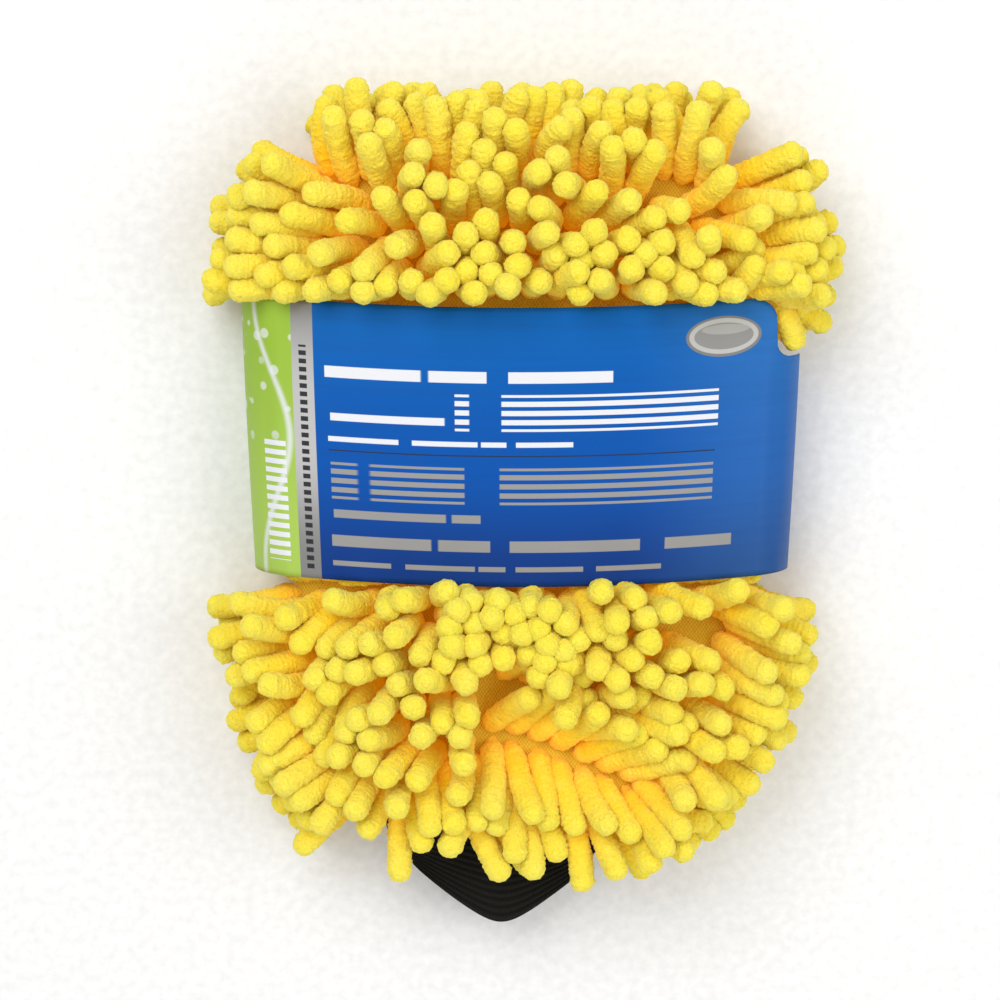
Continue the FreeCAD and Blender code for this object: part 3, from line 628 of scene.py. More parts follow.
@dataclass
class NoodleSolver:
    """Lets the free noodles lean on each other, on the bag, the cuff, the sleeve and the floor."""

    bag: BagForm
    cuff: CuffForm
    sleeve_low: float
    sleeve_high: float
    sleeve_half: float
    radius: float = 0.0040
    contact: float = 0.0077
    beads: int = 6
    rounds: int = 150
    weight: float = 0.000012
    bend: float = 0.30
    root_hold: float = 0.55
    look_again: int = 5
    look_round: float = 0.0035
    notch_side: float = 0.0803
    notch_low: float = 0.0450
    free_corner: float = 0.0720
    overhang: float = 0.0015

    def solve(self, strands: list[Strand]) -> Array:
        """Relaxes the noodles.

        Args:
            strands: the noodles' roots and directions.

        Returns:
            The noodles' bead positions, count by beads by 3.
        """
        roots = np.array([item.root for item in strands])
        ways = np.array([item.way for item in strands])
        ways /= np.linalg.norm(ways, axis=1)[:, None]
        lengths = np.array([item.length for item in strands]) / (self.beads - 1)
        steps = np.arange(self.beads)[None, :, None] * lengths[:, None, None]
        places = roots[:, None, :] + ways[:, None, :] * steps
        owner = np.repeat(np.arange(len(strands)), self.beads)
        first = np.tile(np.arange(self.beads) < 1, len(strands))
        curls = np.array([item.curl for item in strands]) * lengths[:, None]
        for turn in range(self.rounds):
            calm = 1.0 - 0.5 * turn / self.rounds
            if turn % self.look_again == 0:
                pairs = self.neighbours(places.reshape(-1, 3), owner)
            places[:, 1:, 2] -= self.weight * np.arange(1, self.beads)[None, :]
            target = roots + ways * lengths[:, None]
            places[:, 1] += (target - places[:, 1]) * self.root_hold
            for bead in range(2, self.beads):
                straight = 2 * places[:, bead - 1] - places[:, bead - 2] + curls
                shift = (straight - places[:, bead]) * self.bend
                places[:, bead] += shift
                places[:, bead - 1] -= shift * 0.4
            flat = places.reshape(-1, 3)
            flat += self.contacts(flat, pairs, first) * calm
            flat = self.keep_out(flat)
            places = flat.reshape(places.shape)
            places[:, 0] = roots
            for _ in range(2):
                for bead in range(1, self.beads):
                    gap = places[:, bead] - places[:, bead - 1]
                    reach = np.linalg.norm(gap, axis=1)
                    fix = gap * ((reach - lengths) / np.maximum(reach, 1e-9))[:, None]
                    share = 1.0 if bead == 1 else 0.5
                    places[:, bead] -= fix * share
                    places[:, bead - 1] += fix * (1.0 - share)
                places[:, 0] = roots
        return places

    def neighbours(self, flat: Array, owner: Array) -> tuple[Array, Array]:
        """Pairs of beads of different noodles that may come to touch.

        Args:
            flat: the beads' places.
            owner: the noodle that each bead belongs to.

        Returns:
            The first and the second bead of each pair.
        """
        found = []
        block = 400
        for start in range(0, len(flat), block):
            gaps = flat[start : start + block, None, :] - flat[None, :, :]
            near = (gaps**2).sum(axis=2) < (self.contact + self.look_round) ** 2
            near &= owner[start : start + block, None] != owner[None, :]
            rows, columns = np.nonzero(near)
            found.append(np.stack([rows + start, columns]))
        first, second = np.concatenate(found, axis=1)
        return first, second

    def contacts(self, flat: Array, pairs: tuple[Array, Array], first: Array) -> Array:
        """Pushes between beads of different noodles that are too close."""
        rows, columns = pairs
        gaps = flat[rows] - flat[columns]
        reach = np.linalg.norm(gaps, axis=1) + 1e-9
        close = reach < self.contact
        rows, gaps, reach = rows[close], gaps[close], reach[close]
        move = gaps / reach[:, None] * ((self.contact - reach) * 0.5)[:, None]
        push = np.stack([np.bincount(rows, move[:, axis], len(flat)) for axis in range(3)], axis=1)
        weight = np.bincount(rows, minlength=len(flat))
        push /= np.maximum(weight, 1.0)[:, None] ** 0.5
        push[first] = 0.0
        return push

    def keep_out(self, flat: Array) -> Array:
        """Moves beads out of the bag, the sleeve, the cuff and the floor."""
        flat = self.bag.push_out(flat, self.radius * 0.8)
        x, y, z = flat[:, 0], flat[:, 1], flat[:, 2]
        radius = self.radius + 0.0004
        high = np.where(x > self.notch_side, self.notch_low, self.sleeve_high)
        top = self.sleeve_top(x) + radius
        across = np.abs(x) < self.sleeve_half + radius
        below, above = y - (self.sleeve_low - radius), (high + radius) - y
        inside = across & (z < top) & (below > 0) & (above > 0)
        down = inside & (below <= above)
        flat[down, 1] = self.sleeve_low - radius
        rise = inside & ~down
        flat[rise, 1] = high[rise] + radius
        loose = (np.abs(x) < self.free_corner) & (z >= top)
        lying_down = loose & (below > self.overhang) & (below <= above)
        flat[lying_down, 1] -= 0.3 * (below[lying_down] - self.overhang)
        lying_up = loose & (above > self.overhang) & (above < below)
        flat[lying_up, 1] += 0.3 * (above[lying_up] - self.overhang)
        across = (flat[:, 0] - self.cuff.centre) / (self.cuff.start_half[0] + 0.002)
        on_cuff = (flat[:, 1] < self.bag.mouth) & (np.abs(across) < 1.0)
        on_cuff &= flat[:, 1] > self.cuff.tip - self.radius
        crown = self.cuff.start_half[1] * np.sqrt(np.maximum(1.0 - across**2, 0.0)) + self.radius
        front = on_cuff & (flat[:, 2] >= self.bag.middle)
        flat[front, 2] = np.maximum(flat[front, 2], self.bag.middle + crown[front] - 0.001)
        flat[:, 2] = np.maximum(flat[:, 2], self.radius)
        return flat

    def sleeve_top(self, x: Array) -> Array:
        """Height of the sleeve's front panel."""
        far = np.clip((np.abs(x) - 0.078) / (self.sleeve_half - 0.078), 0.0, 1.0)
        return 0.041 - 0.004 * np.minimum(np.abs(x) / 0.078, 1.0) ** 2 - 0.017 * far**2


def ease(share: float) -> float:
    """Smooth step from 0 to 1 as a share goes from 0 to 1."""
    held = min(max(share, 0.0), 1.0)
    return held * held * (3.0 - 2.0 * held)


def smooth_line(beads: Array, count: int) -> Array:
    """Runs a smooth line through beads.

    Args:
        beads: the beads, count by 3.
        count: number of places on the line.

    Returns:
        The places.
    """
    ends = np.concatenate([[2 * beads[0] - beads[1]], beads, [2 * beads[-1] - beads[-2]]])
    spans = np.linspace(0, len(beads) - 1 - 1e-9, count)
    index = spans.astype(int)
    share = (spans - index)[:, None]
    a, b, c, d = (ends[index + step] for step in range(4))
    return 0.5 * (2 * b + (c - a) * share + (2 * a - 5 * b + 4 * c - d) * share**2
                  + (3 * b - a - 3 * c + d) * share**3)


# ---------------------------------------------------------------- geometry nodes


class ShapeTree(Tree):
    """A Geometry Nodes tree with named inputs, ended by Set Material and Realize Instances."""

    def __init__(self, name: str, inputs: dict[str, float | int]) -> None:
        """Starts the tree.

        Args:
            name: its name.
            inputs: each named input and its default, a float or a whole number.
        """
        super().__init__(bpy.data.node_groups.new(name, "GeometryNodeTree"))
        face = self.tree.interface
        face.new_socket("Geometry", in_out="OUTPUT", socket_type="NodeSocketGeometry")
        face.new_socket("Geometry", in_out="INPUT", socket_type="NodeSocketGeometry")
        for key, value in inputs.items():
            kind = "NodeSocketInt" if isinstance(value, int) else "NodeSocketFloat"
            face.new_socket(key, in_out="INPUT", socket_type=kind).default_value = value
        face.new_socket("Material", in_out="INPUT", socket_type="NodeSocketMaterial")
        self.start = self.add("NodeGroupInput").outputs

    def step(self, kind: str, geometry: object, inputs: dict[str, object], **settings: object) -> object:
        """Adds a node that takes geometry and gives it changed.

        Args:
            kind: the node type's identifier.
            geometry: the geometry that goes in.
            inputs: its other inputs, by name.
            **settings: its properties.

        Returns:
            The geometry that comes out.
        """
        node = self.add(kind, **settings)
        self.feed(node.inputs[0], geometry)
        for key, value in inputs.items():
            self.feed(node.inputs[key], value)
        return node.outputs[0]

    def store(self, geometry: object, name: str, value: object, domain: str = "POINT") -> object:
        """Stores a number on every point, or on every line."""
        node = self.add("GeometryNodeStoreNamedAttribute", data_type="FLOAT", domain=domain)
        self.feed(node.inputs["Geometry"], geometry)
        node.inputs["Name"].default_value = name
        self.feed(node.inputs["Value"], value)
        return node.outputs[0]

    def stored(self, name: str) -> object:
        """Reads a number stored earlier."""
        node = self.add("GeometryNodeInputNamedAttribute", data_type="FLOAT")
        node.inputs["Name"].default_value = name
        return node.outputs["Attribute"]

    def end(self, geometry: object) -> bpy.types.NodeTree:
        """Ends the tree and gives it."""
        smooth = self.step("GeometryNodeSetShadeSmooth", geometry, {})
        real = self.step("GeometryNodeRealizeInstances", smooth, {})
        done = self.step("GeometryNodeSetMaterial", real, {"Material": self.start["Material"]})
        out = self.add("NodeGroupOutput")
        self.feed(out.inputs[0], done)
        return self.tree


def noodle_tree() -> bpy.types.NodeTree:
    """Tree that turns lines into fuzzy noodles with ridges, lumps and round ends."""
    tree = ShapeTree("ChenilleNoodles", {
        "Rings": 60, "Sides": 14, "Radius": 0.0040, "Ridge Pitch": 0.0016, "Ridge Depth": 0.00015,
        "Lump Depth": 0.00090, "Fuzz Depth": 0.00130, "Press": 1.0, "Seed": 1.0})
    start = tree.start
    lines = tree.step("GeometryNodeMeshToCurve", start["Geometry"], {})
    lines = tree.step("GeometryNodeResampleCurve", lines, {"Count": start["Rings"]})
    place = tree.add("GeometryNodeSplineParameter").outputs
    whole = tree.add("GeometryNodeSplineLength").outputs["Length"]
    to_tip = tree.math("SUBTRACT", whole, place["Length"])
    share = tree.math("MINIMUM", tree.math("DIVIDE", to_tip, start["Radius"]), 1.0)
    cap = tree.math("SUBTRACT", 1.0, share)
    under_one = tree.math("SUBTRACT", 1.0, tree.math("MULTIPLY", cap, cap))
    dome = tree.math("SQRT", tree.math("MAXIMUM", under_one, 0.0))
    neck = tree.ramp(place["Length"], -0.004, 0.006)
    width = tree.math("MULTIPLY", tree.math("MULTIPLY", dome, neck), start["Radius"])
    chance = tree.add("FunctionNodeRandomValue", data_type="FLOAT")
    tone = next(item for item in chance.outputs if item.enabled)
    lines = tree.store(lines, "tone", tone, "CURVE")
    lines = tree.store(lines, "along", place["Factor"])
    lines = tree.store(lines, "reach", place["Length"])
    spot = tree.add("GeometryNodeInputPosition").outputs[0]
    parts = tree.add("ShaderNodeSeparateXYZ")
    tree.feed(parts.inputs[0], spot)
    lines = tree.store(lines, "axis_height", parts.outputs["Z"])
    lines = tree.store(lines, "dome", dome)
    lines = tree.step("GeometryNodeSetCurveRadius", lines, {"Radius": tree.math("MAXIMUM", width, 0.00004)})
    ring = tree.add("GeometryNodeCurvePrimitiveCircle", mode="RADIUS")
    tree.feed(ring.inputs["Resolution"], start["Sides"])
    ring.inputs["Radius"].default_value = 1.0
    body = tree.add("GeometryNodeCurveToMesh")
    tree.feed(body.inputs["Curve"], lines)
    tree.feed(body.inputs["Profile Curve"], ring.outputs["Curve"])
    body.inputs["Fill Caps"].default_value = True
    if "Scale" in body.inputs:
        radius = tree.add("GeometryNodeInputRadius").outputs[0]
        tree.feed(body.inputs["Scale"], radius)
    lump = tree.add("ShaderNodeTexNoise", noise_dimensions="4D")
    tree.feed(lump.inputs["Vector"], spot)
    tree.feed(lump.inputs["W"], start["Seed"])
    lump.inputs["Scale"].default_value = 330.0
    lump.inputs["Detail"].default_value = 3.0
    centred = tree.math("SUBTRACT", lump.outputs["Fac"], 0.5)
    fuzz = tree.add("ShaderNodeTexNoise", noise_dimensions="4D")
    tree.feed(fuzz.inputs["Vector"], spot)
    tree.feed(fuzz.inputs["W"], start["Seed"])
    fuzz.inputs["Scale"].default_value = 720.0
    fuzz.inputs["Detail"].default_value = 1.0
    rough = tree.math("MULTIPLY", tree.math("SUBTRACT", fuzz.outputs["Fac"], 0.5), start["Fuzz Depth"])
    turns = tree.math("DIVIDE", tree.stored("reach"), start["Ridge Pitch"])
    wander = tree.math("MULTIPLY_ADD", centred, 2.5, turns)
    ridge = tree.math("SINE", tree.math("MULTIPLY", wander, 2.0 * math.pi))
    swell = tree.math("MULTIPLY_ADD", centred, tree.math("MULTIPLY", start["Lump Depth"], 2.0),
                      tree.math("MULTIPLY", ridge, start["Ridge Depth"]))
    swell = tree.math("MULTIPLY", tree.math("ADD", swell, rough), tree.stored("dome"))
    out = tree.add("ShaderNodeVectorMath", operation="SCALE")
    tree.feed(out.inputs[0], tree.add("GeometryNodeInputNormal").outputs[0])
    tree.feed(out.inputs["Scale"], swell)
    shape = tree.step("GeometryNodeSetPosition", body.outputs[0], {"Offset": out.outputs[0]})
    lower = tree.math("SUBTRACT", tree.stored("axis_height"), parts.outputs["Z"])
    lower = tree.math("MULTIPLY", lower, tree.math("SUBTRACT", 1.0, start["Press"]))
    drop = tree.add("ShaderNodeCombineXYZ")
    tree.feed(drop.inputs["Z"], lower)
    shape = tree.step("GeometryNodeSetPosition", shape, {"Offset": drop.outputs[0]})
    return tree.end(shape)


def stitch_tree() -> bpy.types.NodeTree:
    """Tree that lays short stitches along lines."""
    tree = ShapeTree("Stitches", {"Pitch": 0.0032, "Stitch Length": 0.0024, "Thread Radius": 0.00032})
    start = tree.start
    lines = tree.step("GeometryNodeMeshToCurve", start["Geometry"], {})
    lines = tree.step("GeometryNodeResampleCurve", lines, {"Length": start["Pitch"]}, mode="LENGTH")
    spots = tree.add("GeometryNodeCurveToPoints", mode="EVALUATED")
    tree.feed(spots.inputs["Curve"], lines)
    stitch = tree.add("GeometryNodeMeshCylinder")
    stitch.inputs["Vertices"].default_value = 6
    stitch.inputs["Side Segments"].default_value = 4
    tree.feed(stitch.inputs["Radius"], start["Thread Radius"])
    tree.feed(stitch.inputs["Depth"], start["Stitch Length"])
    place = tree.add("GeometryNodeInputPosition").outputs[0]
    parts = tree.add("ShaderNodeSeparateXYZ")
    tree.feed(parts.inputs[0], place)
    share = tree.math("DIVIDE", parts.outputs["Z"], start["Stitch Length"])
    taper = tree.math("MULTIPLY", tree.math("MULTIPLY", share, share), -2.4)
    shrink = tree.add("ShaderNodeCombineXYZ")
    tree.feed(shrink.inputs["X"], tree.math("MULTIPLY", parts.outputs["X"], taper))
    tree.feed(shrink.inputs["Y"], tree.math("MULTIPLY", parts.outputs["Y"], taper))
    tapered = tree.step("GeometryNodeSetPosition", stitch.outputs["Mesh"], {"Offset": shrink.outputs[0]})
    laid = tree.add("GeometryNodeInstanceOnPoints")
    tree.feed(laid.inputs["Points"], spots.outputs["Points"])
    tree.feed(laid.inputs["Instance"], tapered)
    tree.feed(laid.inputs["Rotation"], spots.outputs["Rotation"])
    return tree.end(laid.outputs[0])


def grow(name: str, lines: list[Array], closed: bool, tree: bpy.types.NodeTree,
         material: bpy.types.Material, **inputs: float) -> bpy.types.Object:
    """Runs lines through a tree and keeps the result as a plain mesh.

    Args:
        name: the piece's name.
        lines: each line's places, n by 3.
        closed: whether each line ends where it starts.
        tree: the Geometry Nodes tree.
        material: the finish.
        **inputs: the tree's named inputs, with _ for a space.

    Returns:
        The finished piece.
    """
    verts: list[Array] = []
    edges: list[tuple[int, int]] = []
    for line in lines:
        base = len(verts)
        verts.extend(line)
        edges.extend((base + step, base + step + 1) for step in range(len(line) - 1))
        if closed:
            edges.append((base + len(line) - 1, base))
    mesh = bpy.data.meshes.new(name + "_lines")
    mesh.from_pydata([tuple(map(float, item)) for item in verts], edges, [])
    host = bpy.data.objects.new(name, mesh)
    bpy.context.scene.collection.objects.link(host)
    modifier = host.modifiers.new("shape", "NODES")
    modifier.node_group = tree
    values = {key.replace("_", " "): value for key, value in inputs.items()}
    values["Material"] = material
    for item in tree.interface.items_tree:
        if item.item_type == "SOCKET" and item.in_out == "INPUT" and item.name in values:
            modifier[item.identifier] = values[item.name]
    graph = bpy.context.evaluated_depsgraph_get()
    made = bpy.data.meshes.new_from_object(host.evaluated_get(graph), depsgraph=graph)
    host.modifiers.remove(modifier)
    host.data = made
    made.name = name
    bpy.data.meshes.remove(mesh)
    return host


def grid_mesh(name: str, rows: Array, wrap_rows: bool, wrap_columns: bool,
              material: bpy.types.Material) -> bpy.types.Object:
    """Mesh of a grid of places.

    Args:
        name: the piece's name.
        rows: places, m by n by 3.
        wrap_rows: whether the last row joins the first.
        wrap_columns: whether the last column joins the first.
        material: the finish.

    Returns:
        The piece.
    """
    m, n = rows.shape[:2]
    tall = m if wrap_rows else m - 1
    wide = n if wrap_columns else n - 1
    i, j = np.meshgrid(np.arange(tall), np.arange(wide), indexing="ij")
    i2, j2 = (i + 1) % m, (j + 1) % n
    faces = np.stack([i * n + j, i * n + j2, i2 * n + j2, i2 * n + j], axis=-1).reshape(-1, 4)
    mesh = bpy.data.meshes.new(name)
    mesh.from_pydata(rows.reshape(-1, 3).tolist(), [], faces.tolist())
    mesh.materials.append(material)
    mesh.shade_smooth()
    piece = bpy.data.objects.new(name, mesh)
    bpy.context.scene.collection.objects.link(piece)
    return piece


def store_on(piece: bpy.types.Object, name: str, values: Array) -> None:
    """Stores a number on each vertex of a piece."""
    layer = piece.data.attributes.new(name, "FLOAT", "POINT")
    layer.data.foreach_set("value", values.astype(np.float32).ravel())


def face_out(piece: bpy.types.Object) -> None:
    """Turns a closed piece's faces outwards."""
    shape = bmesh.new()
    shape.from_mesh(piece.data)
    bmesh.ops.recalc_face_normals(shape, faces=shape.faces)
    shape.to_mesh(piece.data)
    shape.free()


# ---------------------------------------------------------------- sub-assemblies


@dataclass(frozen=True)
class PileLie:
    """How the free noodles are thinned, and how they lean for one of height."""

    left_start: float = 0.026
    right_start: float = 0.030
    side_fade: float = 0.034
    finger_side_lean: float = 1.45
    finger_lean: float = 0.85
    finger_lean_start: float = 0.070
    finger_lean_fade: float = 0.032
    bare_from: float = 0.032
    bare_to: float = 0.074
    parting_y: float = 0.094
    parting_share: float = 0.85
    sleeve_lean: float = 0.20
    sleeve_reach: float = 0.013
    hang_lean: tuple[float, float] = (0.30, -1.9)
    hang_fan: float = 14.0
    comb_lean: tuple[float, float] = (2.30, 1.90)
    comb_height: float = 0.030
    comb_right: float = 0.062
    comb_left: float = 0.020
    right_lean: tuple[float, float] = (1.70, 0.75)
    left_lean: tuple[float, float] = (1.50, 1.30)
    upright_share: float = 0.8
    upright_lean: float = 0.14
    mouth_lean: float = 1.30
    mouth_start: float = 0.072
    jitter: float = 0.13
    spot_jitter: float = 0.0012
    thin_start: float = 0.036
    thin_fade: float = 0.030
    thin_side: float = 0.28
    thin_comb: float = 0.55
    thin_hung: float = 0.40


@dataclass
class NoodlePile:
    """All the rows of noodles on the front, on the back and round the edge."""

    bag: BagForm
    cuff: CuffForm
    sleeve: "SleeveAssembly"
    finish: ChenilleFinish = field(default_factory=ChenilleFinish)
    lie: PileLie = PileLie()
    seed: int = 7
    stagger: float = 0.0076
    pitch: float = 0.0104
    zigzag: float = 0.0030
    reach: float = 0.0290
    radius: float = 0.0040
    row_half_span: float = 0.0665
    edge_stride: float = 0.0078
    edge_flatten: float = 0.72
    edge_turn: float = 5.0
    parting: float = 1.00
    parting_shares: tuple[float, float] = (0.55, 0.70)
    root_depth: float = 0.0012
    curl: float = 0.085
    notch_fill: tuple[tuple[tuple[float, float, float], tuple[float, float, float]], ...] = (
        ((0.0750, 0.0700, 0.0280), (0.34, -0.92, 0.05)),
        ((0.0752, 0.0650, 0.0200), (0.42, -0.86, 0.10)),
        ((0.0752, 0.0720, 0.0220), (0.62, -0.74, 0.12)),
    )
    ridge_middle: float = -0.0106
    ridge_top: float = -0.0752
    ridge_round: float = 0.0090
    ridge_slopes: tuple[float, float] = (0.70, 0.45)
    ridge_ends: tuple[float, float] = (-0.0330, 0.0420)
    ridge_bare: float = 0.0022
    ridge_stride: float = 0.0072
    row_places: tuple[float, ...] = (
        -0.0910, -0.0780, -0.0660, -0.0540, -0.0430, -0.0320, -0.0180, -0.0060,
        0.0060, 0.0180, 0.0300, 0.0420, 0.0540, 0.0725, 0.0845, 0.0965)
    edge_rises: tuple[float, ...] = (62.0, 34.0, 6.0, -22.0)

    def build(self) -> None:
        """Builds every row."""
        self.random = np.random.default_rng(self.seed)
        self.tree = noodle_tree()
        self.material = self.finish.make()
        free: list[Strand] = []
        free.extend(self.front_strands())
        free.extend(self.edge_strands())
        LOG.info("%d free noodles", len(free))
        sleeve = self.sleeve
        solver = NoodleSolver(self.bag, self.cuff, sleeve.low, sleeve.high, sleeve.half_width)
        beads = solver.solve(free)
        rows: dict[str, list[Array]] = {}
        for strand, chain in zip(free, beads):
            line = smooth_line(chain, 13)
            line[:, 2] = np.maximum(line[:, 2], self.radius + 0.0010)
            rows.setdefault(strand.row, []).append(line)
        for row, lines in rows.items():
            self.grow_row(row, lines, Lay.FREE)
        for index in range(len(self.row_places)):
            if self.under_sleeve(index):
                front = self.pressed(index, Face.FRONT)
                self.grow_row(f"front_noodle_row_{index + 1:02d}", front, Lay.PRESSED)
            self.grow_row(f"back_noodle_row_{index + 1:02d}", self.pressed(index, Face.BACK), Lay.PRESSED)
        for side in ("left", "right"):
            self.grow_row(f"{side}_edge_row_middle", self.tucked(-1 if side == "left" else 1), Lay.FREE)

    def under_sleeve(self, index: int) -> bool:
        """Whether a row lies under the card sleeve."""
        return self.sleeve.low < self.row_places[index] < self.sleeve.high

    def grow_row(self, node: str, lines: list[Array], lay: Lay) -> None:
        """Makes one row's piece in place of its CAD node."""
        pressed = lay is Lay.PRESSED
        seed = float(sum(map(ord, node)) % 97)
        piece = grow(node.replace("_row_", "_pile_"), lines, False, self.tree, self.material,
                     Rings=28 if pressed else 60, Sides=10 if pressed else 16,
                     Radius=self.radius * (1.12 if pressed else 1.0), Press=0.45 if pressed else 1.0,
                     Seed=seed)
        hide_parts(node)
        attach(piece, "mitt")
        LOG.info("%s: %d noodles", piece.name, len(lines))

    def spots(self, y: float, spread: float) -> list[tuple[float, float]]:
        """Places of a row's noodles, in a zigzag that fills the bag's flat top."""
        found = []
        steps = int(self.row_half_span / (self.pitch / 2)) + 1
        for step in range(-steps, steps + 1):
            x = step * self.pitch / 2 + self.random.uniform(-0.0009, 0.0009)
            here = y + (self.zigzag if step % 2 else -self.zigzag) * spread
            here += self.random.uniform(-0.0007, 0.0007)
            depth = self.bag.depth(np.array([[x, here]]))[0][0]
            on_top = depth > self.bag.half_height + 0.0010 or (here < -0.080 and depth > 0.010)
            if on_top and abs(x) <= self.row_half_span:
                found.append((x, here))
        return found

    def ridge(self, x: float) -> float:
        """Where the arched ridge over the cuff runs."""
        away = x - self.ridge_middle
        slope = self.ridge_slopes[0] if away < 0 else self.ridge_slopes[1]
        return self.ridge_top - slope * (math.hypot(away, self.ridge_round) - self.ridge_round)

    def below_ridge(self, x: float, y: float) -> bool:
        """Whether a noodle hangs from the ridge over the cuff."""
        return self.ridge_ends[0] < x < self.ridge_ends[1] and y < self.ridge(x)

    def front_spots(self) -> list[tuple[float, float]]:
        """Staggered places over the bag's flat top, clear of the sleeve and of the bare ridge."""
        found = []
        lie = self.lie
        tall = self.stagger * math.sqrt(0.75)
        rows = int((self.bag.finger_end - self.bag.mouth) / tall) + 1
        wide = int(self.bag.half_width / self.stagger) + 1
        for row in range(rows):
            for step in range(-wide, wide + 1):
                shift = self.random.uniform(-lie.spot_jitter, lie.spot_jitter, 2)
                x = (step + 0.5 * (row % 2)) * self.stagger + shift[0]
                y = self.bag.mouth + 0.0035 + row * tall + shift[1]
                depth = float(self.bag.depth(np.array([[x, y]]))[0][0])
                on_top = depth > self.bag.half_height + 0.0004 or (y < -0.080 and depth > 0.0065)
                clear = not self.sleeve.low - 0.0006 < y < self.sleeve.high + 0.0006
                over_ridge = y - self.ridge(x)
                by_ridge = -0.0030 - self.ridge_bare < over_ridge < 0.0050 + self.ridge_bare
                far_out = ease((abs(x + 0.002) - lie.thin_start) / lie.thin_fade)
                in_comb = ease((0.038 - over_ridge) / 0.012) * ease((over_ridge + 0.001) / 0.002)
                in_comb *= ease((x + 0.020) / 0.012)
                hung = ease((over_ridge + 0.019) / 0.003) * ease(-over_ridge / 0.002)
                inner = lie.thin_comb * in_comb + lie.thin_hung * hung
                thin = lie.thin_side * far_out + inner * (1.0 - far_out)
                off_sleeve = max(y - self.sleeve.high, self.sleeve.low - y) / 0.012
                if self.random.uniform() < thin * ease(off_sleeve):
                    continue
                on_ridge = by_ridge and self.ridge_ends[0] < x < self.ridge_ends[1]
                if on_top and clear and not on_ridge:
                    found.append((x, y))
        for number, x in enumerate(np.arange(*self.ridge_ends, self.ridge_stride)):
            shift = 0.5 * self.ridge_stride * (number % 2)
            found.append((x, self.ridge(x) + self.ridge_bare))
            found.append((x + shift * 0.5, self.ridge(x) - self.ridge_bare))
        return found

    def lean_at(self, x: float, y: float) -> tuple[float, float]:
        """How far the pile leans at a place.

        Args:
            x: place across the bag.
            y: place along the bag.

        Returns:
            The lean across and along, for one of height.
        """
        lie = self.lie
        left = ease((-x - lie.left_start) / lie.side_fade)
        right = ease((x - lie.right_start) / lie.side_fade)
        middle = (1.0 - left) * (1.0 - right)
        drift = 0.09 * math.sin(95.0 * x + 60.0 * y) + 0.08 * math.sin(170.0 * y - 40.0 * x)
        across = 0.20 * x / self.bag.half_width + drift
        along = 0.12 * math.sin(70.0 * x + 90.0 * y + 1.3)
        if y > self.sleeve.high:
            bare_strip = ease((x - lie.bare_from) / 0.008) * ease((lie.bare_to - x) / 0.008)
            risen = ease((y - lie.finger_lean_start) / lie.finger_lean_fade)
            along += lie.finger_lean * risen ** 2 * (1.0 - bare_strip)
            along += lie.sleeve_lean * ease((self.sleeve.high + lie.sleeve_reach - y) / 0.012)
            parted = (left + right) * ease((lie.parting_y - y) / 0.008)
            across += lie.finger_side_lean * (right**2 - left**2)
            return across, along * (1.0 - lie.parting_share * parted)
        if self.below_ridge(x, y):
            return lie.hang_lean[0] + lie.hang_fan * (x - self.ridge_middle), lie.hang_lean[1]
        combed = ease((y - self.ridge(x) - lie.comb_height) / -0.027)
        combed = combed * ease((lie.comb_right - x) / 0.020) * ease((x + lie.comb_left) / 0.012)
        sideways = lie.right_lean[0] * right**2 - lie.left_lean[0] * left**2
        across += sideways + lie.comb_lean[0] * combed * middle
        lengthways = lie.comb_lean[1] * combed * (1.0 - ease(x / 0.050))
        along += lengthways - lie.left_lean[1] * left**2 - lie.right_lean[1] * right**2
        by_sleeve = ease((y - self.sleeve.low + 0.011) / 0.010)
        along = along * (1.0 - lie.upright_share * by_sleeve) - lie.upright_lean * by_sleeve
        along -= lie.mouth_lean * ease((-lie.mouth_start - y) / 0.020) * (1.0 - combed)
        return across, along

    def front_strands(self) -> list[Strand]:
        """Free noodles of the front, each in the row that it lies nearest to."""
        top = self.bag.middle + self.bag.half_height - self.root_depth
        free_rows = [index for index in range(len(self.row_places)) if not self.under_sleeve(index)]
        strands = []
        for x, y in self.front_spots():
            index = min(free_rows, key=lambda row: abs(self.row_places[row] - y))
            across, along = self.lean_at(x, y)
            jitter = self.random.normal(0.0, self.lie.jitter, 2)
            way = np.array([across + jitter[0], along + jitter[1], 1.0])
            row = f"front_noodle_row_{index + 1:02d}"
            strands.append(self.strand(row, np.array([x, y, top]), way))
        return strands

    def strand(self, row: str, root: Array, way: Array, share: float = 1.0) -> Strand:
        """A noodle with its own length and its own slight curl."""
        length = self.reach * share * self.random.uniform(0.93, 1.07)
        return Strand(row, root, way, length, self.random.normal(0.0, self.curl, 3))

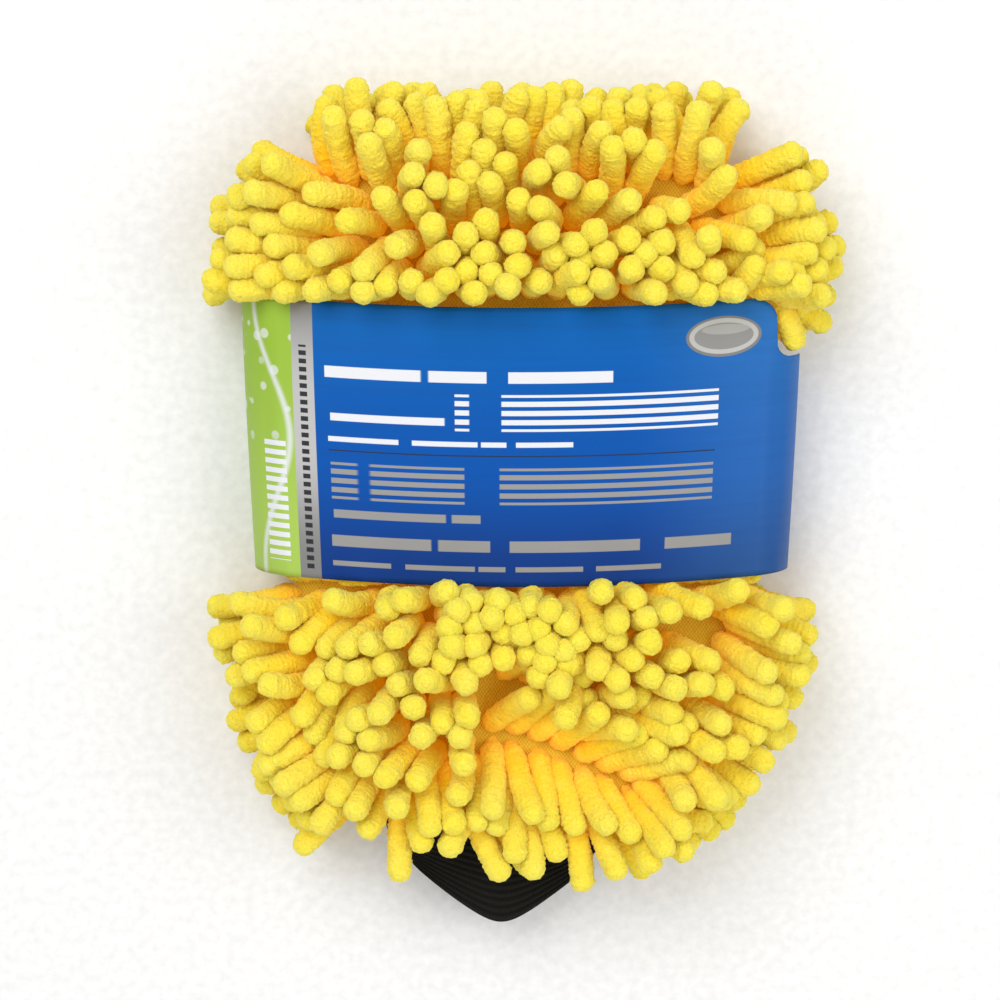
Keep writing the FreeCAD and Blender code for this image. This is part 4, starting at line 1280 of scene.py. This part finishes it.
    def edge_strands(self) -> list[Strand]:
        """Free noodles round the edge, in lines from front to back."""
        strands = []
        rim = self.bag.half_height - self.bag.rim_land
        step_length = float(np.linalg.norm(self.bag.points[1] - self.bag.points[0]))
        stride = self.edge_stride / step_length
        for line, rise in enumerate(self.edge_rises):
            offset = stride * 0.5 * (line % 2)
            for step in np.arange(offset, len(self.bag.points) - 1, stride):
                point = self.bag.points[int(step)]
                normal = self.bag.normals[int(step)]
                node = self.edge_node(point)
                if node is None:
                    continue
                angle = math.radians(rise)
                flat, tall = math.cos(angle), math.sin(angle)
                place = point - normal * (rim * (1 - flat) + self.root_depth)
                z = self.bag.middle + np.sign(tall) * self.bag.rim_land + rim * tall
                at_end = node == "finger_end_row"
                droop = 0.0 if at_end else -0.10
                slack = 0.05 if at_end else 0.13
                lift = math.radians(rise * self.edge_flatten + self.random.normal(0.0, self.edge_turn))
                turn = math.atan2(normal[1], abs(normal[0]))
                if 0.0 < turn < self.parting:
                    turn *= self.parting_shares[0]
                elif turn >= self.parting:
                    turn = math.pi / 2 - self.parting_shares[1] * (math.pi / 2 - turn)
                across = math.copysign(math.cos(turn), normal[0])
                way = np.array([across, math.sin(turn) + droop, 0.0]) * math.cos(lift)
                way += np.array([*self.random.normal(0.0, slack, 2), math.sin(lift)])
                share = 0.90 if at_end else 1.03
                strands.append(self.strand(node, np.array([place[0], place[1], z]), way, share))
        for root, way in self.notch_fill:
            strands.append(self.strand("right_edge_row_finger", np.array(root), np.array(way), 1.05))
        return strands

    def edge_node(self, point: Array) -> str | None:
        """Name of the edge row that a place on the outline belongs to."""
        x, y = point
        side = "left" if x < 0 else "right"
        high = self.sleeve.notch_low + 0.005 if x > 0 else self.sleeve.high + 0.004
        if y < self.bag.mouth + 0.001 or self.sleeve.low - 0.004 < y < high:
            return None
        if y < 0:
            return f"{side}_edge_row_wrist"
        if y > self.bag.finger_end - 0.001:
            return "finger_end_row"
        return f"{side}_edge_row_finger"

    def sleeve_gap(self, x: float, face: Face) -> float:
        """Height of the sleeve's inner face."""
        across = min(abs(x) / 0.078, 1.0) ** 2
        past = max((abs(x) - 0.078) / (self.sleeve.half_width - 0.078), 0.0)
        if face is Face.FRONT:
            return 0.0404 - 0.004 * across - 0.017 * past**2
        return 0.0022 + 0.002 * across + 0.017 * past**2

    def pressed(self, index: int, face: Face) -> list[Array]:
        """Noodles of a row that the sleeve or the ground presses flat, laid outwards."""
        y = self.row_places[index]
        covered = self.under_sleeve(index)
        sign = face.value
        surface = self.bag.middle + sign * (self.bag.half_height + 0.0016)
        lines = []
        for x, here in self.spots(y, 1.0):
            heading = 1.0 if x + self.random.uniform(-0.004, 0.004) > 0 else -1.0
            length = self.reach * self.random.uniform(0.9, 1.05)
            slope = math.radians(13.0 if not covered or face is Face.FRONT else 9.5)
            slide = self.random.uniform(-0.0015, 0.0015)
            lean = 0.0 if covered else np.sign(y - 0.02) * 0.25
            line = []
            for part in np.linspace(0.0, length, 13):
                place = x + heading * part * math.cos(slope)
                if covered:
                    place = math.copysign(min(abs(place), self.sleeve.half_at(y) - 0.0100), place)
                z = surface + sign * part * math.sin(slope)
                if covered:
                    wall = self.sleeve_gap(place, face) - sign * 0.0026
                    z = min(z, wall) if face is Face.FRONT else max(z, wall)
                else:
                    z = max(z, 0.0030)
                line.append(np.array([place, here + slide * part / length + lean * part, z]))
            kept = [line[0]]
            for item in line[1:]:
                if np.linalg.norm(item - kept[-1]) > 0.0008:
                    kept.append(item)
            lines.append(np.array(kept))
        return lines

    def tucked(self, side: int) -> list[Array]:
        """Noodles of the edge under the sleeve, bent along its side wall."""
        lines = []
        low = self.sleeve.low + 0.006
        high = self.sleeve.notch_low if side > 0 else self.sleeve.high - 0.006
        for row, rise in enumerate((42.0, 4.0, -34.0)):
            angle = math.radians(rise)
            for y in np.arange(low + 0.004 * (row % 2), high, 0.0088):
                rim = self.bag.half_height - self.bag.rim_land
                x = self.bag.half_width - rim * (1 - math.cos(angle)) - 0.001
                z = self.bag.middle + rim * math.sin(angle)
                line = []
                for part in np.linspace(0.0, 0.0105, 7):
                    out = min(x + part * math.cos(angle), self.sleeve.half_at(y) - 0.0060)
                    line.append(np.array([side * out, y + 0.25 * part, z + part * math.sin(angle) * 0.7]))
                kept = [line[0]]
                for item in line[1:]:
                    if np.linalg.norm(item - kept[-1]) > 0.0005:
                        kept.append(item)
                lines.append(np.array(kept))
        return lines


@dataclass
class FabricShell:
    """Ground fabric, lining and the seam between them."""

    bag: BagForm
    ground: ClothFinish = ClothFinish("ground_fabric", (0.98, 0.70, 0.045))
    lining: ClothFinish = ClothFinish("lining", (0.80, 0.70, 0.36), 0.0007, 0.2)
    tape: ClothFinish = ClothFinish("seam_tape", (0.70, 0.48, 0.06), 0.0008, 0.3)
    thread: PlainFinish = PlainFinish("seam_thread", (0.80, 0.58, 0.07))
    ground_wall: float = 0.0020
    lining_inset: float = 0.0043
    lining_wall: float = 0.0010

    def build(self) -> None:
        """Builds the four panels, the tape and its thread."""
        ground, lining = self.ground.make(), self.lining.make()
        for face, word in ((Face.FRONT, "front"), (Face.BACK, "back")):
            outer = self.panel(f"{word}_ground_cloth", face, 0.0, self.ground_wall, ground)
            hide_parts(f"{word}_ground_fabric")
            inner = self.panel(f"{word}_lining_cloth", face, self.lining_inset, self.lining_wall, lining)
            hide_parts(f"{word}_lining")
        self.seam()

    def panel(self, name: str, face: Face, inset: float, wall: float,
              material: bpy.types.Material) -> bpy.types.Object:
        """One cupped panel of cloth.

        Args:
            name: the piece's name.
            face: front or back.
            inset: how far inside the bag's outside it lies.
            wall: the cloth's thickness.
            material: the finish.

        Returns:
            The piece.
        """
        points = self.bag.points - self.bag.normals * inset
        half = len(points) // 2
        left, right = points[:half], points[half:][::-1]
        top = float(points[:, 1].max())
        ys = self.bag.mouth + (top - self.bag.mouth) * np.sin(np.linspace(0, math.pi / 2, 96))
        low = np.interp(ys, left[:, 1], left[:, 0])
        high = np.interp(ys, right[:, 1], right[:, 0])
        share = (1 - np.cos(np.linspace(0, math.pi, 110))) / 2
        x = low[:, None] + (high - low)[:, None] * share[None, :]
        y = np.repeat(ys[:, None], len(share), axis=1)
        depth = self.bag.depth(np.stack([x.ravel(), y.ravel()], axis=1))[0].reshape(x.shape)
        depth = np.maximum(depth, inset)
        lift = self.bag.lift(depth, inset) * np.clip((depth - inset) / 0.0003, 0.0, 1.0)
        lift[:, 0] = lift[:, -1] = lift[-1, :] = 0.0
        ripple = 0.00018 * (np.sin(x * 210.0 + y * 95.0) + np.sin(y * 330.0 - x * 60.0))
        lift = lift + ripple * np.clip((depth - inset) / 0.004, 0.0, 1.0)
        rows = np.stack([x, y, self.bag.middle + face.value * lift], axis=-1)
        if face is Face.BACK:
            rows = rows[:, ::-1]
        piece = grid_mesh(name, rows, False, False, material)
        thick = piece.modifiers.new("thickness", "SOLIDIFY")
        thick.thickness = wall
        thick.offset = -1.0
        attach(piece, "mitt")
        return piece

    def seam(self) -> None:
        """Builds the tape inside the edge and the stitches through it."""
        inside = self.bag.points[:, 1] > self.bag.mouth + 0.001
        line = (self.bag.points - self.bag.normals * 0.0027)[inside]
        line = np.column_stack([line, np.full(len(line), self.bag.middle)])
        rows = []
        for height in np.linspace(-0.0039, 0.0039, 9):
            wave = 0.0002 * np.sin(np.arange(len(line)) * 0.35 + height * 900.0)
            row = line.copy()
            row[:, 2] += height
            row[:, :2] -= self.bag.normals[inside] * wave[:, None]
            rows.append(row)
        tape = grid_mesh("edge_tape", np.array(rows), False, False, self.tape.make())
        thick = tape.modifiers.new("thickness", "SOLIDIFY")
        thick.thickness = 0.0006
        thick.offset = 0.0
        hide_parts("edge_seam_tape")
        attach(tape, "mitt")
        run = line.copy()
        run[:, :2] -= self.bag.normals[inside] * 0.0009
        thread = grow("edge_stitches", [run], False, stitch_tree(), self.thread.make())
        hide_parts("edge_seam_thread")
        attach(thread, "mitt")


@dataclass
class CuffAssembly:
    """Ribbed elastic cuff with its binding and stitches."""

    bag: BagForm
    form: CuffForm
    knit: RibKnitFinish = field(default_factory=RibKnitFinish)
    binding: ClothFinish = ClothFinish("cuff_binding", (0.010, 0.010, 0.010), 0.0009, 0.4)
    thread: PlainFinish = PlainFinish("cuff_thread", (0.030, 0.030, 0.033))
    ribs: int = 14
    rib_depth: float = 0.00055
    turns: int = 200
    rings_per_rib: int = 8

    def build(self) -> None:
        """Builds the band, the binding and the stitches."""
        self.band()
        self.edge()

    def band(self) -> None:
        """Builds the ribbed band with its inner and outer face."""
        turn = np.linspace(0, 2 * math.pi, self.turns, endpoint=False)
        along = np.linspace(0, 1, self.ribs * self.rings_per_rib + 1)
        crest = 0.5 - 0.5 * np.cos(2 * math.pi * self.ribs * along)
        outer = np.array([self.form.point(turn, np.full_like(turn, a), self.rib_depth * (1 - c))
                          for a, c in zip(along, crest)])
        sway = 0.0005 * np.sin(turn * 3.0 + 0.7)[None, :] * along[:, None]
        outer[:, :, 2] += sway
        wall = self.form.wall
        inner = np.array([self.form.point(turn, np.full_like(turn, a), wall - self.rib_depth * 0.5 * c)
                          for a, c in zip(along, crest)])
        inner[:, :, 2] += sway
        rows = np.concatenate([outer, inner[::-1]])
        piece = grid_mesh("ribbed_cuff_band", rows, True, True, self.knit.make())
        crests = np.concatenate([crest, crest[::-1]])
        store_on(piece, "crest", np.repeat(crests[:, None], self.turns, axis=1))
        gaps = np.linalg.norm(np.diff(rows, axis=1, append=rows[:, :1]), axis=2)
        store_on(piece, "round_way", np.cumsum(gaps, axis=1))
        face_out(piece)
        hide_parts("ribbed_elastic_cuff")
        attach(piece, "mitt")
        LOG.info("%s: %d ribs", piece.name, self.ribs)

    def mouth_loop(self, offset: float) -> Array:
        """Loop round the bag's mouth, a little outside or inside the cloth."""
        at_mouth = np.abs(self.bag.points[:, 1] - self.bag.mouth)
        half = len(self.bag.points) // 2
        left = self.bag.points[:half][np.argmin(at_mouth[:half])][0]
        right = self.bag.points[half:][np.argmin(at_mouth[half:])][0]
        turn = np.linspace(0, 2 * math.pi, 160, endpoint=False)
        centre, half_x = (left + right) / 2, (right - left) / 2 + offset
        half_z = self.bag.half_height + offset
        x = centre + half_x * np.sign(np.cos(turn)) * np.abs(np.cos(turn)) ** 0.45
        z = self.bag.middle + half_z * np.sign(np.sin(turn)) * np.abs(np.sin(turn)) ** 0.45
        return np.column_stack([x, z])

    def edge(self) -> None:
        """Builds the folded binding at the mouth and the stitches over it."""
        rows = []
        for angle in np.linspace(0, 2 * math.pi, 14, endpoint=False):
            loop = self.mouth_loop(-0.0022 + 0.0024 * math.cos(angle))
            y = self.bag.mouth - 0.0017 + 0.0019 * math.sin(angle)
            rows.append(np.column_stack([loop[:, 0], np.full(len(loop), y), loop[:, 1]]))
        piece = grid_mesh("cuff_binding_tape", np.array(rows), True, True, self.binding.make())
        face_out(piece)
        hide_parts("cuff_seam_binding")
        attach(piece, "mitt")
        loop = self.mouth_loop(0.0004)
        zig = np.where(np.arange(len(loop)) % 2, 0.0008, -0.0008)
        run = np.column_stack([loop[:, 0], self.bag.mouth - 0.0016 + zig, loop[:, 1]])
        stitches = grow("cuff_stitches", [run], True, stitch_tree(), self.thread.make(),
                        Thread_Radius=0.00030)
        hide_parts("cuff_seam_thread")
        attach(stitches, "mitt")


@dataclass
class SleeveAssembly:
    """Card sleeve, flat and wide at its upper edge and rounder at its lower one."""

    low: float
    high: float
    half_width: float = 0.0905
    fold: float = 0.0780
    middle: float = 0.0200
    front_crown: float = 0.0210
    front_fold: float = 0.0170
    back_crown: float = 0.0190
    back_fold: float = 0.0170
    card: float = 0.0005
    columns: int = 560
    rows: int = 46
    notch_start: float = 0.0726
    notch_side: float = 0.0813
    notch_low: float = 0.0450
    notch_round: float = 0.0560
    notch_inner: float = 0.0050
    narrow: float = 0.042
    narrow_power: float = 1.3
    swell: float = 0.070
    bow: float = 0.0045

    def build(self) -> None:
        """Builds the sleeve and gives the glue its finish."""
        path = self.section()
        gaps = np.linalg.norm(np.diff(path[:, :2], axis=0), axis=1)
        arc = np.concatenate([[0], np.cumsum(gaps)])
        front = np.argmin(np.abs(path[:, 0]) + (path[:, 1] < 0) * 9.0)
        across = arc[front] - arc
        across = -across if path[0, 0] > 0 else across
        share = np.linspace(0, 1, self.rows)
        top = self.top_edge(path)
        y = self.low + share[:, None] * (top - self.low)[None, :]
        fall = np.clip((self.high - y) / (self.high - self.low), 0.0, 1.0)
        x = path[None, :, 0] * (1 - self.narrow * fall**self.narrow_power)
        rise = path[None, :, 1]
        bulge = 1 + self.swell * fall * np.clip(rise / 0.012, 0.0, 1.0)
        crease = 0.0005 * np.exp(-(((np.abs(x) - 0.0815) / 0.0022) ** 2)) * np.sin(y * 55.0 + 0.8)
        soft = 0.0004 * np.sin(x * 60.0 + 1.0) * np.sin(y * 45.0)
        z = self.middle + rise * bulge - (crease + soft) * np.clip(rise / 0.010, 0.0, 1.0)
        sag = self.bow * (0.45 - (x / self.half_width) ** 2) * np.clip(1.0 + rise / 0.014, 0.0, 1.0)
        rows = np.stack([x, y - sag, z], axis=-1)
        blocks = self.blocks()
        material = SleeveFinish(blocks=blocks).make()
        piece = grid_mesh("printed_card_sleeve", rows, False, False, material)
        board = PlainFinish("bare_board", (0.60, 0.56, 0.48), 0.8).make()
        piece.data.materials.append(board)
        layer = piece.data.uv_layers.new(name="card")
        flat = np.stack([np.broadcast_to(across, y.shape), y], axis=-1).reshape(-1, 2)
        corner = np.empty(len(piece.data.loops), dtype=np.int32)
        piece.data.loops.foreach_get("vertex_index", corner)
        layer.data.foreach_set("uv", flat[corner].astype(np.float32).ravel())
        self.turn_out(piece)
        thick = piece.modifiers.new("card", "SOLIDIFY")
        thick.thickness = self.card
        thick.offset = -1.0
        thick.material_offset = 1
        thick.material_offset_rim = 1
        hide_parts("card_sleeve")
        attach(piece, "sleeve")
        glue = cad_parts["sleeve_glue_line"]
        for place in glue.material_slots:
            place.material = PlainFinish("dried_glue", (0.80, 0.77, 0.66), 0.45).make()
        LOG.info("%s: %.0f mm of card", piece.name, 1000 * arc[-1])

    def half_at(self, y: float) -> float:
        """The sleeve's half width at a height."""
        fall = min(max((self.high - y) / (self.high - self.low), 0.0), 1.0)
        return self.half_width * (1 - self.narrow * fall**self.narrow_power)

    def turn_out(self, piece: bpy.types.Object) -> None:
        """Turns the card's printed side outwards."""
        centre = np.array([0.0, 0.0, self.middle])
        total = 0.0
        for item in list(piece.data.polygons)[::97]:
            away = np.array(item.center) - centre
            away[1] = 0.0
            total += float(np.array(item.normal) @ away)
        if total < 0:
            piece.data.flip_normals()

    def section(self) -> Array:
        """The card's path across, from the inner end of its glued flap round to its outer end.

        Returns:
            Places, n by 2: across, and height over the sleeve's middle.
        """
        def arc(start: tuple[float, float], over: tuple[float, float], end: tuple[float, float]) -> Array:
            """Places on the arc through three others."""
            (ax, ay), (bx, by), (cx, cy) = start, over, end
            d = 2 * (ax * (by - cy) + bx * (cy - ay) + cx * (ay - by))
            ux = ((ax**2 + ay**2) * (by - cy) + (bx**2 + by**2) * (cy - ay) + (cx**2 + cy**2) * (ay - by)) / d
            uy = ((ax**2 + ay**2) * (cx - bx) + (bx**2 + by**2) * (ax - cx) + (cx**2 + cy**2) * (bx - ax)) / d
            radius = math.hypot(ax - ux, ay - uy)
            first, last = math.atan2(ay - uy, ax - ux), math.atan2(cy - uy, cx - ux)
            sweep = (last - first + math.pi) % (2 * math.pi) - math.pi
            angles = first + sweep * np.linspace(0, 1, 220)
            return np.stack([ux + radius * np.cos(angles), uy + radius * np.sin(angles)], axis=1)

        right, left = self.fold, -self.fold
        back = arc((right, -self.back_fold), (0, -self.back_crown), (left, -self.back_fold))
        rest = np.concatenate([
            arc((left, -self.back_fold), (-self.half_width, 0.0), (left, self.front_fold))[1:],
            arc((left, self.front_fold), (0, self.front_crown), (right, self.front_fold))[1:],
            arc((right, self.front_fold), (self.half_width, 0.0), (right, -self.back_fold))[1:]])
        flap = back[(back[:, 0] <= 0.055)]
        step = np.interp(-flap[:, 0], [-0.0397, -0.036], [0.00065, 0.0])
        flap = flap + np.stack([np.zeros(len(step)), step], axis=1)
        cover = back[back[:, 0] >= 0.0400]
        line = np.concatenate([flap, rest, cover[1:]])
        lengths = np.concatenate([[0], np.cumsum(np.linalg.norm(np.diff(line, axis=0), axis=1))])
        places = np.linspace(0, lengths[-1], self.columns)
        return np.stack([np.interp(places, lengths, line[:, axis]) for axis in (0, 1)], axis=1)

    def top_edge(self, path: Array) -> Array:
        """Height of the upper edge round the card, with the die-cut notch at the right."""
        x = path[:, 0]
        rounded = np.clip((x - self.notch_start) / (self.notch_side - self.notch_start), 0.0, 1.0)
        corner = self.notch_round + (self.high - self.notch_round) * np.sqrt(np.maximum(1 - rounded**2, 0.0))
        inner = np.clip((x - self.notch_side) / self.notch_inner, 0.0, 1.0)
        bend = self.notch_low + self.notch_inner * (1 - np.sqrt(np.maximum(1 - (1 - inner) ** 2, 0.0)))
        return np.where(x < self.notch_start, self.high, np.where(x < self.notch_side, corner, bend))

    def blocks(self) -> tuple[PrintBlock, ...]:
        """Plain blocks that stand where a sleeve has its lines of words."""
        white, grey = SleeveFinish.white, SleeveFinish.grey
        return (
            PrintBlock(-0.0630, 0.0290, 0.0404, 0.0440, white, 0.0260),
            PrintBlock(-0.0625, -0.0240, 0.0268, 0.0292, white, 0.0200),
            PrintBlock(-0.0215, 0.0630, 0.0252, 0.0368, white, 0.0390, 0.0029),
            PrintBlock(-0.0625, 0.0165, 0.0202, 0.0218, white, 0.0115),
            PrintBlock(-0.0625, 0.0624, 0.0172, 0.0176, (0.02, 0.03, 0.05)),
            PrintBlock(-0.0620, 0.0620, 0.0020, 0.0136, grey, 0.0430, 0.0029),
            PrintBlock(-0.0620, -0.0135, -0.0040, -0.0014, grey, 0.0200),
            PrintBlock(-0.0625, 0.0690, -0.0131, -0.0095, grey, 0.0240),
            PrintBlock(-0.0625, 0.0460, -0.0193, -0.0177, grey, 0.0125),
            PrintBlock(0.0520, 0.0762, 0.0467, 0.0595, (0.20, 0.20, 0.20), oval=True),
            PrintBlock(0.0530, 0.0752, 0.0476, 0.0588, (0.46, 0.46, 0.45), oval=True),
            PrintBlock(0.0546, 0.0736, 0.0490, 0.0574, (0.26, 0.26, 0.255), oval=True),
            PrintBlock(0.0570, 0.0722, 0.0537, 0.0569, (0.36, 0.36, 0.35), oval=True),
        )


@dataclass
class Studio:
    """Pale floor, soft lights and the camera over the mitt."""

    target: tuple[float, float, float] = (-0.0070, 0.0006, 0.030)
    distance: float = 0.78
    tilt: float = 5.0
    width: float = 0.3214

    def build(self) -> None:
        """Builds all of it."""
        scene = bpy.context.scene
        scene.view_settings.view_transform = "Standard"
        world = bpy.data.worlds.new("studio")
        scene.world = world
        world.use_nodes = True
        back = world.node_tree.nodes["Background"]
        back.inputs["Color"].default_value = (1.0, 1.0, 1.0, 1.0)
        back.inputs["Strength"].default_value = 0.50
        self.floor()
        self.lamp("key", (-0.45, 0.65, 1.10), 0.9, 10.5)
        self.lamp("fill", (0.75, 0.10, 0.90), 0.8, 4.5)
        self.lamp("low", (0.0, -0.95, 0.60), 0.8, 3.0)
        self.camera()

    def floor(self) -> None:
        """Lays the floor."""
        mesh = bpy.data.meshes.new("floor")
        mesh.from_pydata([(-4, -4, 0), (4, -4, 0), (4, 4, 0), (-4, 4, 0)], [], [(0, 1, 2, 3)])
        mesh.materials.append(PlainFinish("pale_floor", (0.93, 0.93, 0.93), 0.9).make())
        floor = bpy.data.objects.new("floor", mesh)
        bpy.context.scene.collection.objects.link(floor)

    def lamp(self, name: str, place: tuple[float, float, float], size: float, power: float) -> None:
        """Hangs one soft square lamp that faces the mitt."""
        light = bpy.data.lights.new(name, "AREA")
        light.size = size
        light.energy = power
        lamp = bpy.data.objects.new(name, light)
        lamp.location = place
        away = lamp.location - Vector(self.target)
        lamp.rotation_mode = "QUATERNION"
        lamp.rotation_quaternion = away.to_track_quat("Z", "Y")
        bpy.context.scene.collection.objects.link(lamp)

    def camera(self) -> None:
        """Places the camera over the front face, a little towards the fingers."""
        data = bpy.data.cameras.new("camera")
        data.sensor_width = 36.0
        data.lens = 36.0 * self.distance / self.width
        data.clip_start = 0.05
        camera = bpy.data.objects.new("camera", data)
        lean = math.radians(self.tilt)
        camera.location = (self.target[0], self.target[1] + self.distance * math.sin(lean),
                           self.target[2] + self.distance * math.cos(lean))
        camera.rotation_euler = (-lean, 0.0, 0.0)
        bpy.context.scene.collection.objects.link(camera)
        bpy.context.scene.camera = camera


def main() -> None:
    """Builds the mitt round its frame and sets the studio."""
    logging.basicConfig(level=logging.INFO, format="%(name)s %(message)s")
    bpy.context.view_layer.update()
    low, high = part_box("front_ground_fabric")
    sleeve_low, sleeve_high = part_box("card_sleeve")
    bag = BagForm(half_width=float(high[0]), finger_end=float(high[1]), middle=float(low[2]))
    cuff = CuffForm(middle=bag.middle)
    Studio().build()
    FabricShell(bag).build()
    CuffAssembly(bag, cuff).build()
    sleeve = SleeveAssembly(float(sleeve_low[1]), float(sleeve_high[1]), float(sleeve_high[0]))
    sleeve.build()
    NoodlePile(bag, cuff, sleeve).build()


if __name__ == "__main__":
    main()
